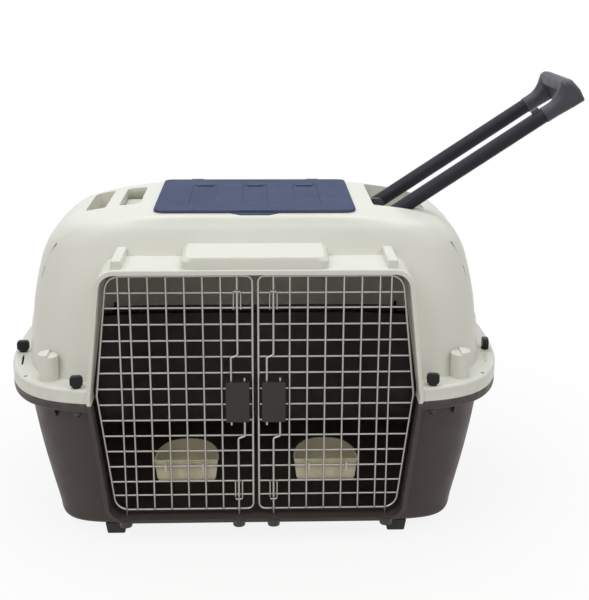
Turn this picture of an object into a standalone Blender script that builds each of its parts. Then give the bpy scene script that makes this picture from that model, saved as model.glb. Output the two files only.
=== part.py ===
"""A large two-door pet carrier: dome shell, base tub, wire doors with sliding latches, roof lid, pull handle.

Run it with: blender --background --python part.py. It is in metres, +Z up.
Shapes are drawn in the carrier's own frame: X to the right, Y to the back and Z up, from the floor under
the middle of the shells. The frame empty then puts the origin under the middle of the whole object.
"""

import math

import bmesh
import bpy
from mathutils import Matrix, Vector

# Clearances and round shapes
SEAT_GAP = 0.0003
RING_POINTS = 40
FILLET_STEP = math.radians(22.5)
SMOOTH_ANGLE = math.radians(35)

# Heights of the two shells
FLOOR_Z = 0.018
RIM_UNDER_Z = 0.207
RIM_JOINT_Z = 0.222
FLANGE_TOP_Z = 0.243
ROOF_Z = 0.473
WALL = 0.003
LIP_ROUND = 0.003

# Plan sizes of the shells, as half widths and half depths
FLANGE_HALF_X = 0.377
FLANGE_HALF_Y = 0.242
FLANGE_POWERS = (6.5, 2.6)
DOME_HALF_X = 0.350
DOME_HALF_Y = 0.212
TUB_HALF_X = 0.337
TUB_HALF_Y = 0.2275

# Dome sections: share of height, of half width and of half depth, and the powers of its outline
DOME_SECTIONS = (
    (1.000, 0.450, 0.630, 8.0, 7.0),
    (0.985, 0.580, 0.650, 7.5, 6.0),
    (0.952, 0.723, 0.672, 7.0, 5.0),
    (0.913, 0.809, 0.697, 6.5, 4.4),
    (0.835, 0.874, 0.728, 6.0, 4.0),
    (0.757, 0.909, 0.752, 6.0, 3.7),
    (0.639, 0.940, 0.792, 6.0, 3.4),
    (0.387, 0.977, 0.873, 6.0, 3.2),
    (0.000, 1.000, 1.000, 6.0, 3.0),
)
# Tub sections: share of height, of half width, of the front and of the rear depth, and the powers
TUB_SECTIONS = (
    (1.000, 1.046, 0.993, 1.007, 6.5, 3.0),
    (0.874, 1.027, 0.985, 0.985, 6.5, 3.4),
    (0.503, 0.971, 0.958, 0.892, 7.0, 5.0),
    (0.141, 0.917, 0.938, 0.774, 8.0, 6.5),
    (0.050, 0.903, 0.932, 0.748, 9.0, 8.0),
    (0.014, 0.885, 0.921, 0.722, 10.0, 8.0),
    (0.000, 0.850, 0.908, 0.700, 10.0, 8.0),
)

# Doorway: a six-sided opening, widest at the kink
DOORWAY_KINK_Z = 0.228
DOORWAY_HALF_X = 0.235
DOORWAY_TAPER = 0.115
DOORWAY_TOP_Z = 0.412
DOORWAY_BOTTOM_Z = 0.039
DOORWAY_CORNER = 0.022
SURROUND_FRONT_Y = -0.240
SURROUND_WIDTH = 0.006
SURROUND_TAB_Z = 0.219
HOOD_THICKNESS = 0.007
HOOD_DEPTH = 0.100
SILL_HEIGHT = 0.0055
HEADER_HALF_X = 0.1025
HEADER_TOP_Z = 0.436
HEADER_SETBACK = 0.004
EAR_WIDTH = 0.014
EAR_TOP_Z = 0.431
EAR_SETBACK = 0.008
KEEPER_RADIUS = 0.009
KEEPER_DROP = 0.0045
KEEPER_REACH = 0.006
KEEPER_DEPTH = 0.032
TOWER_X = 0.300
TOWER_Y = 0.189
TOWER_RADIUS = 0.014
TOWER_TOP_Z = 0.279

# Wire doors
DOOR_Y = -0.221
DOOR_SPLIT = 0.0042
DOOR_HALF_X = 0.228
DOOR_TOP_Z = 0.406
DOOR_BOTTOM_Z = 0.047
DOOR_OUTER_CORNER = 0.021
DOOR_INNER_CORNER = 0.009
FRAME_RADIUS = 0.0018
WIRE_RADIUS = 0.0015
LAYER_OFFSET = 0.0011
WIRE_PITCH_X = 0.0254
WIRE_PITCH_Z = 0.0243
FIRST_WIRE_X = 0.04855
UPRIGHT_COUNT = 6
FIRST_BAR_Z = 0.0920
BAR_COUNT = 12
TOP_BAR_Z = 0.3815
LOW_BAR_Z = 0.070
HINGE_X = 0.1916
HINGE_REACH = 0.0145
PIN_CLEARANCE = 0.0007

# Latch rods, their guides and their housings
ROD_X = 0.0255
ROD_RADIUS = 0.00165
ROD_FORWARD = 0.0040
ROD_REST_GAP = 0.0005
ROD_TRAVEL = 0.008
ROD_JOG = 0.0095
ROD_BEND_ABOVE = 0.040
ROD_BEND_BELOW = 0.027
ROD_STUB = 0.007
KEEPER_HOLE_DEPTH = 0.0080
GUIDE_HALF_X = 0.005
GUIDE_RADIUS = 0.0012
GUIDE_RISE = 0.004
LATCH_X = 0.026
LATCH_WIDTH = 0.034
LATCH_HEIGHT = 0.057
LATCH_Z = 0.218
LATCH_FORWARD = 0.0095
ROD_SLOT_CLEARANCE = 0.0004
BACK_PLATE = 0.002
RIVET_RADIUS = 0.002

# Cups on the doors
BOWL_X = 0.1025
BOWL_HALF_X = 0.0465
BOWL_DEPTH = 0.0775
BOWL_RIM_Z = 0.124
BOWL_BOTTOM_Z = 0.092
BOWL_WALL = 0.002
BOWL_SETBACK = 0.0045
BOWL_TAPER = 0.006
BOWL_HOOK_WIDTH = 0.012
BOWL_HOOK_DROP = 0.008
BOWL_HOOK_THICKNESS = 0.002
BOWL_LIFT = 0.012

# Roof lid and the tray below it
LID_HALF_X = 0.149
LID_FRONT_Y = -0.122
LID_HINGE_Y = 0.120
LID_THICKNESS = 0.0045
LID_CORNER = 0.018
LID_RIM_DEPTH = 0.005
LID_RIM_WALL = 0.002
LID_RIM_CLEARANCE = 0.003
LID_PANEL_X = 0.080
LID_PANEL_WIDTH = 0.040
LID_PANEL_LENGTH = 0.150
LID_PANEL_DEPTH = 0.0008
LID_LEDGE_WIDTH = 0.026
LID_LEDGE_LENGTH = 0.007
LID_LEDGE_HEIGHT = 0.0012
LID_KNUCKLE_X = 0.095
LID_KNUCKLE_WIDTH = 0.020
LID_PIN_RADIUS = 0.001
LID_PIN_LENGTH = 0.034
TRAY_HALF_X = 0.135
TRAY_HALF_Y = 0.106
TRAY_CORNER = 0.020
TRAY_DEPTH = 0.070
TRAY_WALL = 0.002
TRAY_FLANGE = 0.008
NOTCH_HALF_X = 0.036
NOTCH_TAPER = 0.013
NOTCH_LENGTH = 0.012
NOTCH_DEPTH = 0.012
NOTCH_UNDER_LID = 0.003

# Carry pocket in the left end of the roof
POCKET_FRONT_Y = -0.047
POCKET_REAR_Y = 0.085
POCKET_INNER_X = (-0.207, -0.175)
POCKET_OUTER_X = (-0.258, -0.227)
POCKET_CORNER = 0.007
POCKET_FLOOR_Z = 0.430
CARRY_BAR_UNDER_Z = 0.452

# Handle recess in the right end of the roof
RECESS_X = (0.1805, 0.262)
RECESS_Y = (-0.058, 0.112)
RECESS_STEP_X = 0.2432
RECESS_STEP_Y = -0.034
RECESS_FLOOR_Z = 0.430

# Pull handle
HANDLE_ANGLE = math.radians(33.8)
PIVOT_X = 0.197
PIVOT_Z = 0.446
TUBE_SPACING = 0.120
TUBE_CENTRE_Y = 0.014
TUBE_RADIUS = 0.01125
TUBE_HEEL = 0.009
HANDLE_REACH = 0.351
GRIP_LENGTH = 0.064
GRIP_RADIUS = 0.01275
GRIP_BAR = 0.026
GRIP_HUMP = 0.027
GRIP_SOCKET = 0.028
AXLE_RADIUS = 0.004
AXLE_OVERHANG = 0.011
LUG_THICKNESS = 0.008
LUG_INSET = 0.018
LUG_X = (0.1825, 0.2095)
LUG_RISE = 0.0125
BUTTON_LENGTH = 0.012
BUTTON_WIDTH = 0.007
BUTTON_TOP = 0.016
BUTTON_HEIGHT = 0.010
BUTTON_BELOW_GRIP = 0.008
BUTTON_TRAVEL = 0.003

# Clamp knobs, as (x, y, turn in degrees), with their screws and nuts
KNOBS = (
    (-0.255, -0.226, 6.0),
    (0.255, -0.226, -10.0),
    (-0.361, -0.070, 4.0),
    (0.361, -0.070, 88.0),
    (-0.361, 0.070, 75.0),
    (0.361, 0.070, 20.0),
    (-0.255, 0.226, -15.0),
    (0.255, 0.226, 12.0),
)
KNOB_WIDTH = 0.0185
KNOB_THICKNESS = 0.009
KNOB_HEIGHT = 0.018
KNOB_CORNER = 0.005
KNOB_COLLAR_RADIUS = 0.006
KNOB_COLLAR = 0.004
SCREW_RADIUS = 0.0025
SCREW_HOLE = 0.0032
SCREW_TAIL = 0.003
NUT_RADIUS = 0.0058
NUT_HEIGHT = 0.005

# Feet
FOOT_X = 0.211
FOOT_WIDTH = 0.032
FOOT_LENGTH = 0.038
FOOT_FRONT_Y = -0.188
FOOT_REAR_Y = 0.110
FOOT_TAPER = 0.003

# Worked out from the sizes above
FLANGE_UNDER_Z = FLANGE_TOP_Z - WALL
LATCH_TOP_Z = LATCH_Z + LATCH_HEIGHT / 2
LATCH_BOTTOM_Z = LATCH_Z - LATCH_HEIGHT / 2
UPRIGHT_Y = DOOR_Y - LAYER_OFFSET
BAR_Y = DOOR_Y + LAYER_OFFSET
BAR_FRONT_Y = BAR_Y - WIRE_RADIUS * math.cos(math.pi / 6)
BAR_REAR_Y = BAR_Y + WIRE_RADIUS * math.cos(math.pi / 6)
ROD_Y = DOOR_Y - ROD_FORWARD
BAR_HEIGHTS = [LOW_BAR_Z] + [FIRST_BAR_Z + WIRE_PITCH_Z * k for k in range(BAR_COUNT)] + [TOP_BAR_Z]
LID_BOTTOM_Z = ROOF_Z + SEAT_GAP
LID_AXIS_Z = LID_BOTTOM_Z + LID_THICKNESS / 2
HANDLE_ALONG = Vector((math.cos(HANDLE_ANGLE), 0, math.sin(HANDLE_ANGLE)))
HANDLE_ACROSS = Vector((-math.sin(HANDLE_ANGLE), 0, math.cos(HANDLE_ANGLE)))
PIVOT = Vector((PIVOT_X, TUBE_CENTRE_Y, PIVOT_Z))


def clear_scene():
    for obj in list(bpy.data.objects):
        bpy.data.objects.remove(obj)


def new_collection(name):
    collection = bpy.data.collections.new(name)
    bpy.context.scene.collection.children.link(collection)
    return collection


def material(name, colour, roughness, metallic=0.0):
    made = bpy.data.materials.new(name)
    made.use_nodes = True
    shader = made.node_tree.nodes["Principled BSDF"]
    shader.inputs["Base Color"].default_value = (*colour, 1.0)
    shader.inputs["Roughness"].default_value = roughness
    shader.inputs["Metallic"].default_value = metallic
    return made


def new_empty(name, location=(0, 0, 0), parent=None):
    """An empty on a joint axis, at a place in the carrier's frame."""
    empty = bpy.data.objects.new(name, None)
    parts.objects.link(empty)
    empty.parent = parent
    empty.location = location
    return empty


def link_mesh(name, bm, finish=None, joint=None, helper=False):
    """Makes an object of a mesh drawn in the carrier's frame, carried by the frame or by a joint's empty."""
    bmesh.ops.recalc_face_normals(bm, faces=bm.faces)
    mesh = bpy.data.meshes.new(name)
    bm.to_mesh(mesh)
    bm.free()
    mesh.shade_smooth()
    mesh.set_sharp_from_angle(angle=SMOOTH_ANGLE)
    obj = bpy.data.objects.new(name, mesh)
    (helpers if helper else parts).objects.link(obj)
    obj.parent = joint or frame
    if joint:
        obj.location = -joint.location
    if helper:
        obj.hide_render = True
        obj.display_type = "WIRE"
    if finish:
        mesh.materials.append(finish)
    return obj


def boolean(obj, other, operation):
    modifier = obj.modifiers.new(f"{operation.title()} {other.name}", "BOOLEAN")
    modifier.operation = operation
    modifier.object = other
    modifier.solver = "EXACT"


def solidify(obj, thickness, side=-1):
    """Gives a skin its wall, behind its faces or, with side 1, in front of them."""
    modifier = obj.modifiers.new("Wall", "SOLIDIFY")
    modifier.thickness = thickness
    modifier.offset = side
    modifier.use_even_offset = True


def bevel(obj, width, segments=1, angle=math.radians(50)):
    modifier = obj.modifiers.new("Rounded edges", "BEVEL")
    modifier.width = width
    modifier.segments = segments
    modifier.limit_method = "ANGLE"
    modifier.angle_limit = angle


def filleted(corners, closed=True):
    """Points of an outline whose corners, given as (a, b, radius), are rounded by arcs."""
    count = len(corners)
    points = []
    for i, (a, b, radius) in enumerate(corners):
        corner = Vector((a, b))
        if radius == 0 or (not closed and i in (0, count - 1)):
            points.append(corner)
            continue
        back = Vector(corners[i - 1][:2]) - corner
        ahead = Vector(corners[(i + 1) % count][:2]) - corner
        half_angle = back.angle(ahead) / 2
        reach = min(radius / math.tan(half_angle), 0.49 * back.length, 0.49 * ahead.length)
        radius = reach * math.tan(half_angle)
        centre = corner + (back.normalized() + ahead.normalized()).normalized() * radius / math.sin(half_angle)
        start = corner + back.normalized() * reach - centre
        end = corner + ahead.normalized() * reach - centre
        turn = start.angle_signed(end)
        steps = max(1, round(abs(turn) / FILLET_STEP))
        for step in range(steps + 1):
            points.append(centre + Matrix.Rotation(-turn * step / steps, 2) @ start)
    return points


def inset(corners, distance):
    """The same corners moved inwards from the sides of a convex outline given anticlockwise, radii kept."""
    moved = []
    count = len(corners)
    for i in range(count):
        before, here, after = (Vector(corners[(i + k) % count][:2]) for k in (-1, 0, 1))
        first = (here - before).normalized()
        second = (after - here).normalized()
        normal = Vector((-first.y, first.x))
        other = Vector((-second.y, second.x))
        share = distance / (1 + normal.dot(other))
        moved.append((*(here + (normal + other) * share), max(corners[i][2] - distance, 0)))
    return moved


def rectangle(x_range, y_range, radius):
    """Anticlockwise corners of a rectangle."""
    (left, right), (front, rear) = x_range, y_range
    return [(left, front, radius), (right, front, radius), (right, rear, radius), (left, rear, radius)]


AXES = {
    "X": lambda a, b, depth: Vector((depth, a, b)),
    "Y": lambda a, b, depth: Vector((a, depth, b)),
    "Z": lambda a, b, depth: Vector((a, b, depth)),
}


def prism(bm, outline, axis, low, high):
    """An outline drawn square to an axis, extruded along it from low to high."""
    at = AXES[axis]
    face = bm.faces.new([bm.verts.new(at(a, b, low)) for a, b in outline])
    made = bmesh.ops.extrude_face_region(bm, geom=[face], use_keep_orig=True)
    moved = [item for item in made["geom"] if isinstance(item, bmesh.types.BMVert)]
    bmesh.ops.translate(bm, verts=moved, vec=at(0, 0, high - low))


def cylinder(bm, centre, axis, radius, length, sides, turn=0.0):
    """A closed cylinder about an axis through its centre."""
    direction = Vector(axis).normalized()
    turned = direction.to_track_quat("Z", "Y").to_matrix().to_4x4() @ Matrix.Rotation(turn, 4, "Z")
    bmesh.ops.create_cone(
        bm,
        cap_ends=True,
        segments=sides,
        radius1=radius,
        radius2=radius,
        depth=length,
        matrix=Matrix.Translation(centre) @ turned,
    )


def block(bm, x_range, y_range, z_range):
    size = [high - low for low, high in (x_range, y_range, z_range)]
    middle = [(low + high) / 2 for low, high in (x_range, y_range, z_range)]
    bmesh.ops.create_cube(bm, size=1, matrix=Matrix.Translation(middle) @ Matrix.Diagonal((*size, 1)))


def oval(half_x, front_y, rear_y, z, powers):
    """One ring of a moulded shell: a superellipse between a front and a rear depth."""
    middle = (front_y + rear_y) / 2
    half_y = (rear_y - front_y) / 2
    ring = []
    for i in range(RING_POINTS):
        angle = 2 * math.pi * (i + 0.5) / RING_POINTS
        along = math.copysign(abs(math.cos(angle)) ** (2 / powers[0]), math.cos(angle))
        across = math.copysign(abs(math.sin(angle)) ** (2 / powers[1]), math.sin(angle))
        ring.append(Vector((half_x * along, middle + half_y * across, z)))
    return ring


def loft(bm, rings, cap_first=True, cap_last=False):
    """A skin through rings of equal point counts, with flat ends where asked."""
    loops = [[bm.verts.new(point) for point in ring] for ring in rings]
    for upper, lower in zip(loops, loops[1:]):
        for i in range(len(upper)):
            k = (i + 1) % len(upper)
            bm.faces.new((upper[i], lower[i], lower[k], upper[k]))
    if cap_first:
        bm.faces.new(loops[0])
    if cap_last:
        bm.faces.new(loops[-1])


def tube(points, radius, resolution, cyclic=False):
    """A bent round bar as a mesh: a curve with a round bevel and filled caps, its caps welded."""
    curve = bpy.data.curves.new("tube", "CURVE")
    curve.dimensions = "3D"
    curve.bevel_depth = radius
    curve.bevel_resolution = resolution
    curve.use_fill_caps = not cyclic
    spline = curve.splines.new("POLY")
    spline.points.add(len(points) - 1)
    for point, place in zip(spline.points, points):
        point.co = (*place, 1)
    spline.use_cyclic_u = cyclic
    holder = bpy.data.objects.new("tube", curve)
    bpy.context.scene.collection.objects.link(holder)
    graph = bpy.context.evaluated_depsgraph_get()
    mesh = bpy.data.meshes.new_from_object(holder.evaluated_get(graph))
    bm = bmesh.new()
    bm.from_mesh(mesh)
    bmesh.ops.remove_doubles(bm, verts=bm.verts, dist=1e-6)
    bpy.data.objects.remove(holder)
    bpy.data.curves.remove(curve)
    bpy.data.meshes.remove(mesh)
    return bm


def joined(meshes):
    """Several meshes in one, as separate closed shapes."""
    whole = bmesh.new()
    for bm in meshes:
        part = bpy.data.meshes.new("part")
        bm.to_mesh(part)
        bm.free()
        whole.from_mesh(part)
        bpy.data.meshes.remove(part)
    return whole


def dome_rings(inward=0.0):
    rings = []
    for height, width, depth, power_x, power_y in DOME_SECTIONS:
        z = FLANGE_TOP_Z + height * (ROOF_Z - FLANGE_TOP_Z)
        half_y = depth * DOME_HALF_Y - inward
        rings.append(oval(width * DOME_HALF_X - inward, -half_y, half_y, z - inward * height, (power_x, power_y)))
    return rings


def tub_rings(inward=0.0):
    rings = []
    for height, width, front, rear, power_x, power_y in TUB_SECTIONS:
        z = FLOOR_Z + height * (RIM_UNDER_Z - FLOOR_Z) + inward * (1 - height)
        rings.append(
            oval(
                width * TUB_HALF_X - inward,
                inward - front * TUB_HALF_Y,
                rear * TUB_HALF_Y - inward,
                z,
                (power_x, power_y),
            )
        )
    return rings


def flange_ring(z, inward=0.0):
    return oval(FLANGE_HALF_X - inward, inward - FLANGE_HALF_Y, FLANGE_HALF_Y - inward, z, FLANGE_POWERS)


def doorway_half_x(z):
    return DOORWAY_HALF_X - DOORWAY_TAPER * abs(z - DOORWAY_KINK_Z)


def doorway(low, high, outward=0.0, low_radius=0.0):
    """Anticlockwise corners of the doorway, seen from behind, between two heights."""
    kink = DOORWAY_HALF_X + outward
    top = doorway_half_x(high) + outward
    bottom = doorway_half_x(low) + outward
    corners = [(bottom, low, low_radius)]
    if low < DOORWAY_KINK_Z < high:
        corners.append((kink, DOORWAY_KINK_Z, 0))
    corners.append((top, high, DOORWAY_CORNER + outward if high < DOORWAY_TOP_Z + HOOD_THICKNESS * 2 else 0))
    return corners + [(-x, z, radius) for x, z, radius in reversed(corners)]


def doorway_cutter():
    corners = doorway(DOORWAY_BOTTOM_Z, DOORWAY_TOP_Z, low_radius=DOORWAY_CORNER)
    bm = bmesh.new()
    prism(bm, filleted(corners), "Y", SURROUND_FRONT_Y - 0.03, SURROUND_FRONT_Y + HOOD_DEPTH + 0.03)
    return bm


def make_top_shell():
    finish = material("ivory plastic", (0.80, 0.79, 0.72), 0.42)
    core = bmesh.new()
    rings = dome_rings(WALL / 2)
    foot = [point - Vector((0, 0, 0.06)) for point in rings[-1]]
    loft(core, [*rings, foot], cap_last=True)
    core = link_mesh("dome core", core, helper=True)

    bm = bmesh.new()
    outline = doorway(SURROUND_TAB_Z, DOORWAY_TOP_Z + HOOD_THICKNESS, SURROUND_WIDTH)
    prism(bm, filleted(outline), "Y", SURROUND_FRONT_Y, SURROUND_FRONT_Y + HOOD_DEPTH)
    hood = link_mesh("hood", bm, helper=True)
    header_front = SURROUND_FRONT_Y + HEADER_SETBACK
    hood_back = SURROUND_FRONT_Y + HOOD_DEPTH
    hood_middle_z = DOORWAY_TOP_Z + HOOD_THICKNESS / 2
    bm = bmesh.new()
    corners = rectangle((-HEADER_HALF_X, HEADER_HALF_X), (header_front, hood_back), 0)
    corners[0] = (*corners[0][:2], 0.012)
    corners[1] = (*corners[1][:2], 0.012)
    prism(bm, filleted(corners), "Z", hood_middle_z, HEADER_TOP_Z)
    for side in (-1, 1):
        reach = sorted((side * (HINGE_X - EAR_WIDTH / 2), side * (HINGE_X + EAR_WIDTH / 2)))
        block(bm, reach, (SURROUND_FRONT_Y + EAR_SETBACK, hood_back), (hood_middle_z, EAR_TOP_Z))
    blocks = link_mesh("hood blocks", bm, helper=True)
    bevel(blocks, 0.0018)
    bm = bmesh.new()
    for side in (-1, 1):
        middle = (side * TOWER_X, -TOWER_Y, (TOWER_TOP_Z + FLANGE_UNDER_Z + WALL / 2) / 2)
        cylinder(bm, middle, (0, 0, 1), TOWER_RADIUS, TOWER_TOP_Z - FLANGE_UNDER_Z - WALL / 2, 16)
    towers = link_mesh("corner towers", bm, helper=True)
    boolean(hood, blocks, "UNION")
    boolean(hood, towers, "UNION")
    boolean(hood, core, "DIFFERENCE")

    bm = bmesh.new()
    pocket_x = (POCKET_OUTER_X[0] - WALL, POCKET_INNER_X[1] + WALL)
    block(bm, pocket_x, (POCKET_FRONT_Y - WALL, POCKET_REAR_Y + WALL), (POCKET_FLOOR_Z - WALL, ROOF_Z))
    block(
        bm,
        (RECESS_X[0] - WALL, RECESS_X[1] + WALL),
        (RECESS_Y[0] - WALL, RECESS_Y[1] + WALL),
        (RECESS_FLOOR_Z - WALL, ROOF_Z),
    )
    notch_front = LID_FRONT_Y - NOTCH_LENGTH
    notch_back = LID_FRONT_Y + NOTCH_UNDER_LID
    notch_floor = ROOF_Z - NOTCH_DEPTH
    block(
        bm,
        (-NOTCH_HALF_X - WALL, NOTCH_HALF_X + WALL),
        (notch_front - WALL, notch_back + WALL),
        (notch_floor - WALL, ROOF_Z),
    )
    cups = link_mesh("roof cups", bm, helper=True)
    boolean(cups, core, "INTERSECT")

    bm = doorway_cutter()
    above = ROOF_Z + 0.02
    prism(bm, filleted(rectangle((-TRAY_HALF_X, TRAY_HALF_X), (-TRAY_HALF_Y, TRAY_HALF_Y), TRAY_CORNER)),
          "Z", ROOF_Z - 0.02, above)
    notch = [
        (-NOTCH_HALF_X, notch_back, 0),
        (-NOTCH_HALF_X, LID_FRONT_Y, 0.006),
        (-NOTCH_HALF_X + NOTCH_TAPER, notch_front, 0.006),
        (NOTCH_HALF_X - NOTCH_TAPER, notch_front, 0.006),
        (NOTCH_HALF_X, LID_FRONT_Y, 0.006),
        (NOTCH_HALF_X, notch_back, 0),
    ]
    prism(bm, filleted(notch), "Z", notch_floor, above)
    for x_range in (POCKET_INNER_X, POCKET_OUTER_X):
        opening = rectangle(x_range, (POCKET_FRONT_Y, POCKET_REAR_Y), POCKET_CORNER)
        prism(bm, filleted(opening), "Z", POCKET_FLOOR_Z, above)
    recess = rectangle(RECESS_X, RECESS_Y, POCKET_CORNER)
    recess[1:2] = [
        (RECESS_STEP_X, RECESS_Y[0], 0.002),
        (RECESS_STEP_X, RECESS_STEP_Y, 0.002),
        (RECESS_X[1], RECESS_STEP_Y, POCKET_CORNER),
    ]
    prism(bm, filleted(recess), "Z", RECESS_FLOOR_Z, above)
    for x, y, _ in KNOBS:
        cylinder(bm, (x, y, FLANGE_TOP_Z), (0, 0, 1), SCREW_HOLE, 0.02, 12)
    openings = link_mesh("top openings", bm, helper=True)
    bm = bmesh.new()
    under_bar = rectangle((POCKET_OUTER_X[0], POCKET_INNER_X[1]), (POCKET_FRONT_Y, POCKET_REAR_Y), POCKET_CORNER)
    prism(bm, filleted(under_bar), "Z", POCKET_FLOOR_Z, CARRY_BAR_UNDER_Z)
    for side in (-1, 1):
        rod_top = DOORWAY_TOP_Z + KEEPER_HOLE_DEPTH
        cylinder(bm, (side * ROD_X, ROD_Y, rod_top - 0.02), (0, 0, 1), ROD_RADIUS + PIN_CLEARANCE, 0.04, 10)
        pin_top = DOORWAY_TOP_Z + HINGE_REACH + PIN_CLEARANCE
        cylinder(bm, (side * HINGE_X, UPRIGHT_Y, pin_top - 0.02), (0, 0, 1), WIRE_RADIUS + PIN_CLEARANCE, 0.04, 10)
    recesses = link_mesh("bar space and keeper holes", bm, helper=True)

    bm = bmesh.new()
    rings = dome_rings()
    rings.append(flange_ring(FLANGE_TOP_Z, LIP_ROUND))
    rings.append(flange_ring(FLANGE_TOP_Z - LIP_ROUND))
    rings.append(flange_ring(RIM_JOINT_Z))
    loft(bm, rings)
    shell = link_mesh("top_shell", bm, finish)
    solidify(shell, WALL)
    boolean(shell, hood, "UNION")
    boolean(shell, cups, "UNION")
    boolean(shell, openings, "DIFFERENCE")
    boolean(shell, recesses, "DIFFERENCE")


def keeper_outline(x):
    """A keeper boss in plan: round at the front, square where it runs into the sill."""
    front = SURROUND_FRONT_Y - KEEPER_REACH
    corners = rectangle((x - KEEPER_RADIUS, x + KEEPER_RADIUS), (front, front + KEEPER_DEPTH), 0)
    corners[0] = (*corners[0][:2], KEEPER_RADIUS)
    corners[1] = (*corners[1][:2], KEEPER_RADIUS)
    return filleted(corners)


def make_base_shell():
    finish = material("taupe plastic", (0.064, 0.052, 0.048), 0.5)
    core = bmesh.new()
    rings = tub_rings(WALL / 2)
    top = [point + Vector((0, 0, 0.06)) for point in rings[0]]
    loft(core, [top, *rings], cap_last=True)
    core = link_mesh("tub core", core, helper=True)

    bm = bmesh.new()
    corners = doorway(DOORWAY_BOTTOM_Z - SILL_HEIGHT, SURROUND_TAB_Z - SEAT_GAP, SURROUND_WIDTH,
                      DOORWAY_CORNER + SURROUND_WIDTH)
    corners[1] = (*corners[1][:2], 0)
    corners[2] = (*corners[2][:2], 0)
    prism(bm, filleted(corners), "Y", SURROUND_FRONT_Y, SURROUND_FRONT_Y + 0.05)
    surround = link_mesh("surround", bm, helper=True)
    bm = bmesh.new()
    keeper_bottom = DOORWAY_BOTTOM_Z - SILL_HEIGHT - KEEPER_DROP
    for x in (-HINGE_X, -ROD_X, ROD_X, HINGE_X):
        prism(bm, keeper_outline(x), "Z", keeper_bottom, DOORWAY_BOTTOM_Z - 0.0004)
    keepers = link_mesh("keeper bosses", bm, helper=True)
    boolean(surround, keepers, "UNION")
    boolean(surround, core, "DIFFERENCE")

    bm = doorway_cutter()
    for x, y, _ in KNOBS:
        cylinder(bm, (x, y, RIM_UNDER_Z), (0, 0, 1), SCREW_HOLE, 0.02, 12)
    openings = link_mesh("base openings", bm, helper=True)
    bm = bmesh.new()
    tab_half_x = DOORWAY_HALF_X + SURROUND_WIDTH + SEAT_GAP
    block(bm, (-tab_half_x, tab_half_x), (SURROUND_FRONT_Y - 0.01, SURROUND_FRONT_Y + 0.05),
          (SURROUND_TAB_Z - SEAT_GAP, RIM_JOINT_Z + 0.01))
    for side in (-1, 1):
        rod_bottom = DOORWAY_BOTTOM_Z - KEEPER_HOLE_DEPTH
        cylinder(bm, (side * ROD_X, ROD_Y, rod_bottom + 0.015), (0, 0, 1), ROD_RADIUS + PIN_CLEARANCE, 0.03, 10)
        cylinder(bm, (side * HINGE_X, UPRIGHT_Y, rod_bottom + 0.015), (0, 0, 1),
                 WIRE_RADIUS + PIN_CLEARANCE, 0.03, 10)
    recesses = link_mesh("tab space and keeper holes", bm, helper=True)

    bm = bmesh.new()
    rings = [flange_ring(RIM_JOINT_Z - SEAT_GAP), flange_ring(RIM_UNDER_Z + LIP_ROUND),
             flange_ring(RIM_UNDER_Z, LIP_ROUND), *tub_rings()]
    loft(bm, rings, cap_first=False, cap_last=True)
    shell = link_mesh("base_shell", bm, finish)
    solidify(shell, WALL)
    boolean(shell, surround, "UNION")
    boolean(shell, openings, "DIFFERENCE")
    boolean(shell, recesses, "DIFFERENCE")


def make_feet():
    finish = material("black rubber", (0.012, 0.012, 0.012), 0.7)
    for end, y in (("front", FOOT_FRONT_Y), ("rear", FOOT_REAR_Y)):
        for name, side in (("left", -1), ("right", 1)):
            bm = bmesh.new()
            block(bm, (side * FOOT_X - FOOT_WIDTH / 2, side * FOOT_X + FOOT_WIDTH / 2),
                  (y - FOOT_LENGTH / 2, y + FOOT_LENGTH / 2), (0, FLOOR_Z - SEAT_GAP))
            for vert in bm.verts:
                if vert.co.z < FLOOR_Z / 2:
                    vert.co.x -= math.copysign(FOOT_TAPER, vert.co.x - side * FOOT_X)
            foot = link_mesh(f"foot_{end}_{name}", bm, finish)
            bevel(foot, 0.002)


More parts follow.
